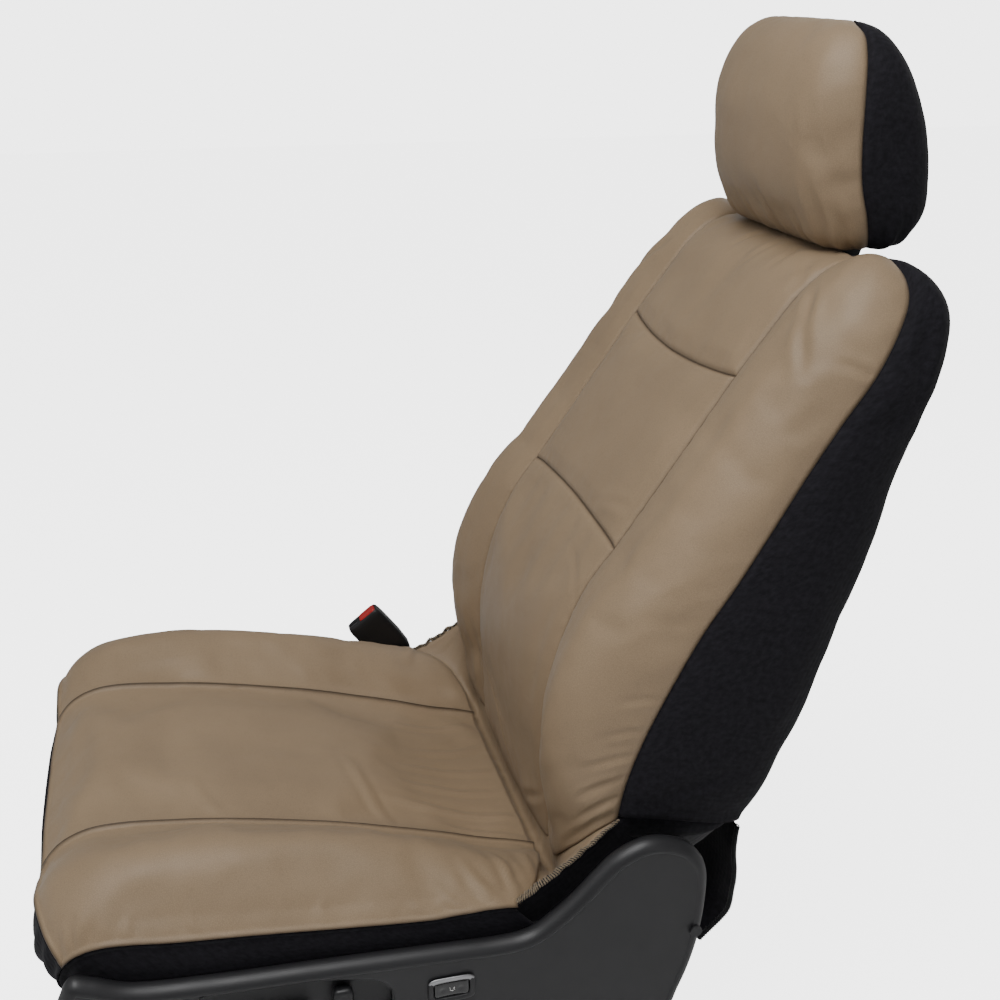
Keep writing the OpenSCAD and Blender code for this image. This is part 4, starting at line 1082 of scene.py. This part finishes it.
def blockRings(steps, place, half, corner, count=48):
    # steps are (x, inset): rounded rectangles stacked along x
    a = np.linspace(0, 2 * math.pi, count, endpoint=False)
    rings = []
    for x, inset in steps:
        hy, hz = half[0] - inset, half[1] - inset
        n = 2 / max(0.12, corner)
        y = np.sign(np.cos(a)) * np.abs(np.cos(a)) ** (2 / n) * hy
        z = np.sign(np.sin(a)) * np.abs(np.sin(a)) ** (2 / n) * hz
        rings.append(placed(np.stack([np.full(count, x), place[0] + y, place[1] + z], 1)))
    return rings


# seat adjuster controls
bar = loft("seat_switch", blockRings([(270, 2), (279, 2), (279.2, 0.4), (280.5, 0), (284.5, 0),
                                      (286.8, 0.9), (287.9, 2.4),
                                      (287.6, 4.5), (287.3, 5.6)], (-305, -25), (40, 7), 0.28, 64),
                                      [looks["black_plastic"]])
put(bar, "seat_switch", "charcoal_plastic", "seat_switch_bar")
knob = loft("backrest_switch", blockRings([(275, 4), (279, 4), (279.2, 0.5), (280.6, 0), (285, 0),
                                           (287.3, 1.1), (288.5, 3.0),
                                           (288.1, 5.5), (287.9, 7.5)], (-235.5, -18), (9.5, 18), 0.4, 64),
            [looks["black_plastic"]])
put(knob, "backrest_switch", "charcoal_plastic", "backrest_switch_knob")

# lumbar switch
rim = {"centre": (-136, -20), "half": (22, 14), "hole": (17, 9), "corner": 0.34, "around": 72,
       "silverX": 0.2872, "silverAbove": -11.2}
outerSteps = [(282, 4.0), (287.0, 3.6), (287.1, 0.4), (287.6, 0), (288.3, 0.5), (288.7, 1.6)]
innerSteps = [(288.6, -0.9), (288.1, -0.2), (287.2, 0), (282.2, 0)]
rings = blockRings(outerSteps, rim["centre"], rim["half"], rim["corner"], rim["around"])
inner = blockRings(innerSteps, rim["centre"], rim["hole"], rim["corner"], rim["around"])
ringSet = np.array(rings + inner + rings[:1])
bezel = linkMesh("lumbar_bezel", ringSet.reshape(-1, 3), gridFaces(len(ringSet), rim["around"], True),
                 [charcoal, looks["silver_trim"]])
for poly in bezel.data.polygons:
    at = np.array(poly.center) - origin
    poly.material_index = int(at[0] > rim["silverX"] and at[2] * 1000 > rim["silverAbove"])
bezel.modifiers.new("weld", "WELD").merge_threshold = 0.00002
put(bezel, "cushion", "silver_trim", "lumbar_switch_bezel")
rockerKey = {"top": 288.9, "base": 283.2, "half": (15.9, 8.3), "cols": 61, "rows": 31,
             "dimples": (-0.55, 0.55)}
across, up = rockerKey["cols"], rockerKey["rows"]
cols, rows = np.meshgrid(np.linspace(-1, 1, across), np.linspace(-1, 1, up))
bulge = rockerKey["top"] - 1.6 * (1 - np.abs(cols) ** 2.2) * 0.7 - 1.1 * np.abs(rows) ** 6
bulge = bulge - 1.4 * np.abs(cols) ** 16  # the two ends round off
for middle in rockerKey["dimples"]:
    bulge = bulge - 0.7 * np.exp(-(((cols - middle) / 0.16) ** 2 + (rows / 0.3) ** 2))
y = rim["centre"][0] + rockerKey["half"][0] * cols
z = rim["centre"][1] + rockerKey["half"][1] * rows
top = placed(np.stack([bulge, y, z], 2))
low = placed(np.stack([np.full(bulge.shape, rockerKey["base"]), y, z], 2))
edge = lambda grid: np.concatenate([grid[0, :-1], grid[:-1, -1], grid[-1, :0:-1], grid[:0:-1, 0]])
verts = np.concatenate([top.reshape(-1, 3), edge(top), edge(low)])
n = len(edge(top))
first = up * across  # the rim's points follow the top's
faces = [list(f) for f in gridFaces(up, across)] + [list(f) for f in gridFaces(2, n, True, first)]
faces.append(list(range(first + n, first + 2 * n)))
rocker = linkMesh("lumbar_switch", verts, faces, [looks["gloss_black"]])
rocker.modifiers.new("weld", "WELD").merge_threshold = 0.00003
put(rocker, "lumbar_switch", "gloss_black", "lumbar_rocker")
mark = {"lines": [[(-1.9, 2.2), (-1.2, -1.2), (1.3, -1.7)], [(2.6, 1.8), (1.6, 0.4), (2.7, -0.8)]],
        "radius": 0.33, "x": 287.95}
parts = []
for line in mark["lines"]:
    pts = throughPoints(np.array(line, float), np.linspace(0, 2, 14))
    at = placed(np.stack([np.full(14, mark["x"]), rim["centre"][0] + pts[:, 0],
                          rim["centre"][1] + pts[:, 1]], 1))
    parts.append((tubeRings(at, mark["radius"] / 1000, 6), 0))
markPiece = joined("lumbar_mark", parts, [whiteMark])
put(markPiece, "lumbar_switch", None)
print("switches made")

# seat belt buckle
buckle = {"foot": (-277.9, -30, -40), "lean": 38}
turned = Matrix.Translation(Vector(placed(buckle["foot"])))
turned = turned @ Matrix.Rotation(math.radians(buckle["lean"]), 4, "X")


def leaning(local):
    return np.array([tuple(turned @ Vector(np.array(p) / 1000)) for p in local])


def uprightRings(steps, power, count=72, shift=0.0):
    # steps are (height, half x, half y)
    a = np.linspace(0, 2 * math.pi, count, endpoint=False)
    x = np.sign(np.cos(a)) * np.abs(np.cos(a)) ** power
    y = np.sign(np.sin(a)) * np.abs(np.sin(a)) ** power
    return [leaning(np.stack([x * hx, y * hy + shift, np.full(count, h)], 1)) for h, hx, hy in steps]


housing = loft("buckle_shell", uprightRings([(82, 7.0, 15), (84, 9.2, 19), (90, 10.6, 21.5),
                                             (110, 11.3, 23.5), (140, 11.4, 24),
                                               (150, 11.2, 23.8), (156, 10.5, 23.2), (158.4, 9.3, 22.0),
                                               (159, 8, 20.8)], 0.36),
               [looks["black_plastic"]])
slotTool = loft("buckle_slot", uprightRings([(122, 1.6, 6.6), (170, 1.9, 6.9)], 0.3, 24, -14.5), [])
seatTool = loft("buckle_seat", uprightRings([(135, 8.3, 12.8), (170, 8.4, 12.9)], 0.3, 24, 8), [])
for tool in (slotTool, seatTool):
    cut = housing.modifiers.new(tool.name, "BOOLEAN")
    cut.operation = "DIFFERENCE"
    cut.object = tool
graph = bpy.context.evaluated_depsgraph_get()
whole = bpy.data.meshes.new_from_object(housing.evaluated_get(graph))
housing.modifiers.clear()
housing.data = whole
for tool in (slotTool, seatTool):
    bpy.data.objects.remove(tool)
housing.modifiers.new("edges", "BEVEL").width = 0.0005
put(housing, "buckle", "black_plastic", "buckle_housing")
button = loft("buckle_press", uprightRings([(143, 7.6, 12.1), (157.6, 7.8, 12.3), (159.4, 7.3, 11.8),
                                            (160.3, 6.2, 10.6),
                                             (159.9, 4.4, 8.6), (159.7, 2.5, 5.0)], 0.32, 60, 8),
                                             [looks["red_plastic"]])
put(button, "release_button", "red_plastic", "buckle_button")
stalk = loft("buckle_stem", uprightRings([(8, 1.4, 8.6), (9, 1.5, 9), (40, 1.5, 9), (88, 1.5, 8.6),
                                          (92, 1.3, 8.2)], 0.4, 40),
             [looks["black_plastic"]])
put(stalk, "buckle", "black_plastic", "buckle_stalk")
print("buckle made")

# everything still shown from the CAD
shown = sorted(name for name, obj in nodes.items() if not obj.hide_render)
slots = {row["node"]: row["material_slot"] for row in frame["record"]["subparts"]}
rounded = {"post_lock_button", "post_guide_left", "post_guide_right", "headrest_posts", "risers",
           "frame_sides",
           "shield_screws", "rails_upper", "rail_lower_left", "rail_lower_right",
           "cushion_cover_strap_adjusters",
           "buckle_anchor", "recliner_arms", "seat_switch_housing"}
for name in shown:
    obj = nodes[name]
    obj.data.materials.clear()
    obj.data.materials.append(looks[slots[name]])
    if name in rounded:
        bevel = obj.modifiers.new("edges", "BEVEL")
        bevel.width = 0.0006
        bevel.segments = 2
        bevel.limit_method = "ANGLE"
        bevel.angle_limit = math.radians(40)
        bevel.use_clamp_overlap = True
print("cad pieces shown:", len(shown))

floor = {"half": 9.0, "glow": 3.6, "low": (0.86, 0.86, 0.86), "high": (0.90, 0.90, 0.90)}
half = floor["half"]
floorMat, floorTree, floorShader = newMaterial("pale_floor", floor["high"], rough=0.8, spec=0.1)
where = floorTree.nodes.new("ShaderNodeTexCoord").outputs["Object"]
tone = ramp(floorTree, noiseNode(floorTree, where, 30.0, 3.0), (0.3, floor["low"]), (0.7, floor["high"]))
floorTree.links.new(tone, floorShader.inputs["Base Color"])
# the camera sees the floor almost white; its light on the seat stays that of the matt surface
mix = floorTree.nodes.new("ShaderNodeMixShader")
glow = addNode(floorTree, "ShaderNodeAddShader")
bright = addNode(floorTree, "ShaderNodeEmission", Strength=floor["glow"])
output = floorTree.nodes["Material Output"]
floorTree.links.new(floorShader.outputs[0], glow.inputs[0])
floorTree.links.new(bright.outputs[0], glow.inputs[1])
floorTree.links.new(floorTree.nodes.new("ShaderNodeLightPath").outputs["Is Camera Ray"], mix.inputs[0])
floorTree.links.new(floorShader.outputs[0], mix.inputs[1])
floorTree.links.new(glow.outputs[0], mix.inputs[2])
floorTree.links.new(mix.outputs[0], output.inputs[0])
ground = linkMesh("floor", [(-half, -half, 0), (half, -half, 0), (half, half, 0), (-half, half, 0)],
                  [(0, 1, 2, 3)],
                  [floorMat], False)
print("floor made")
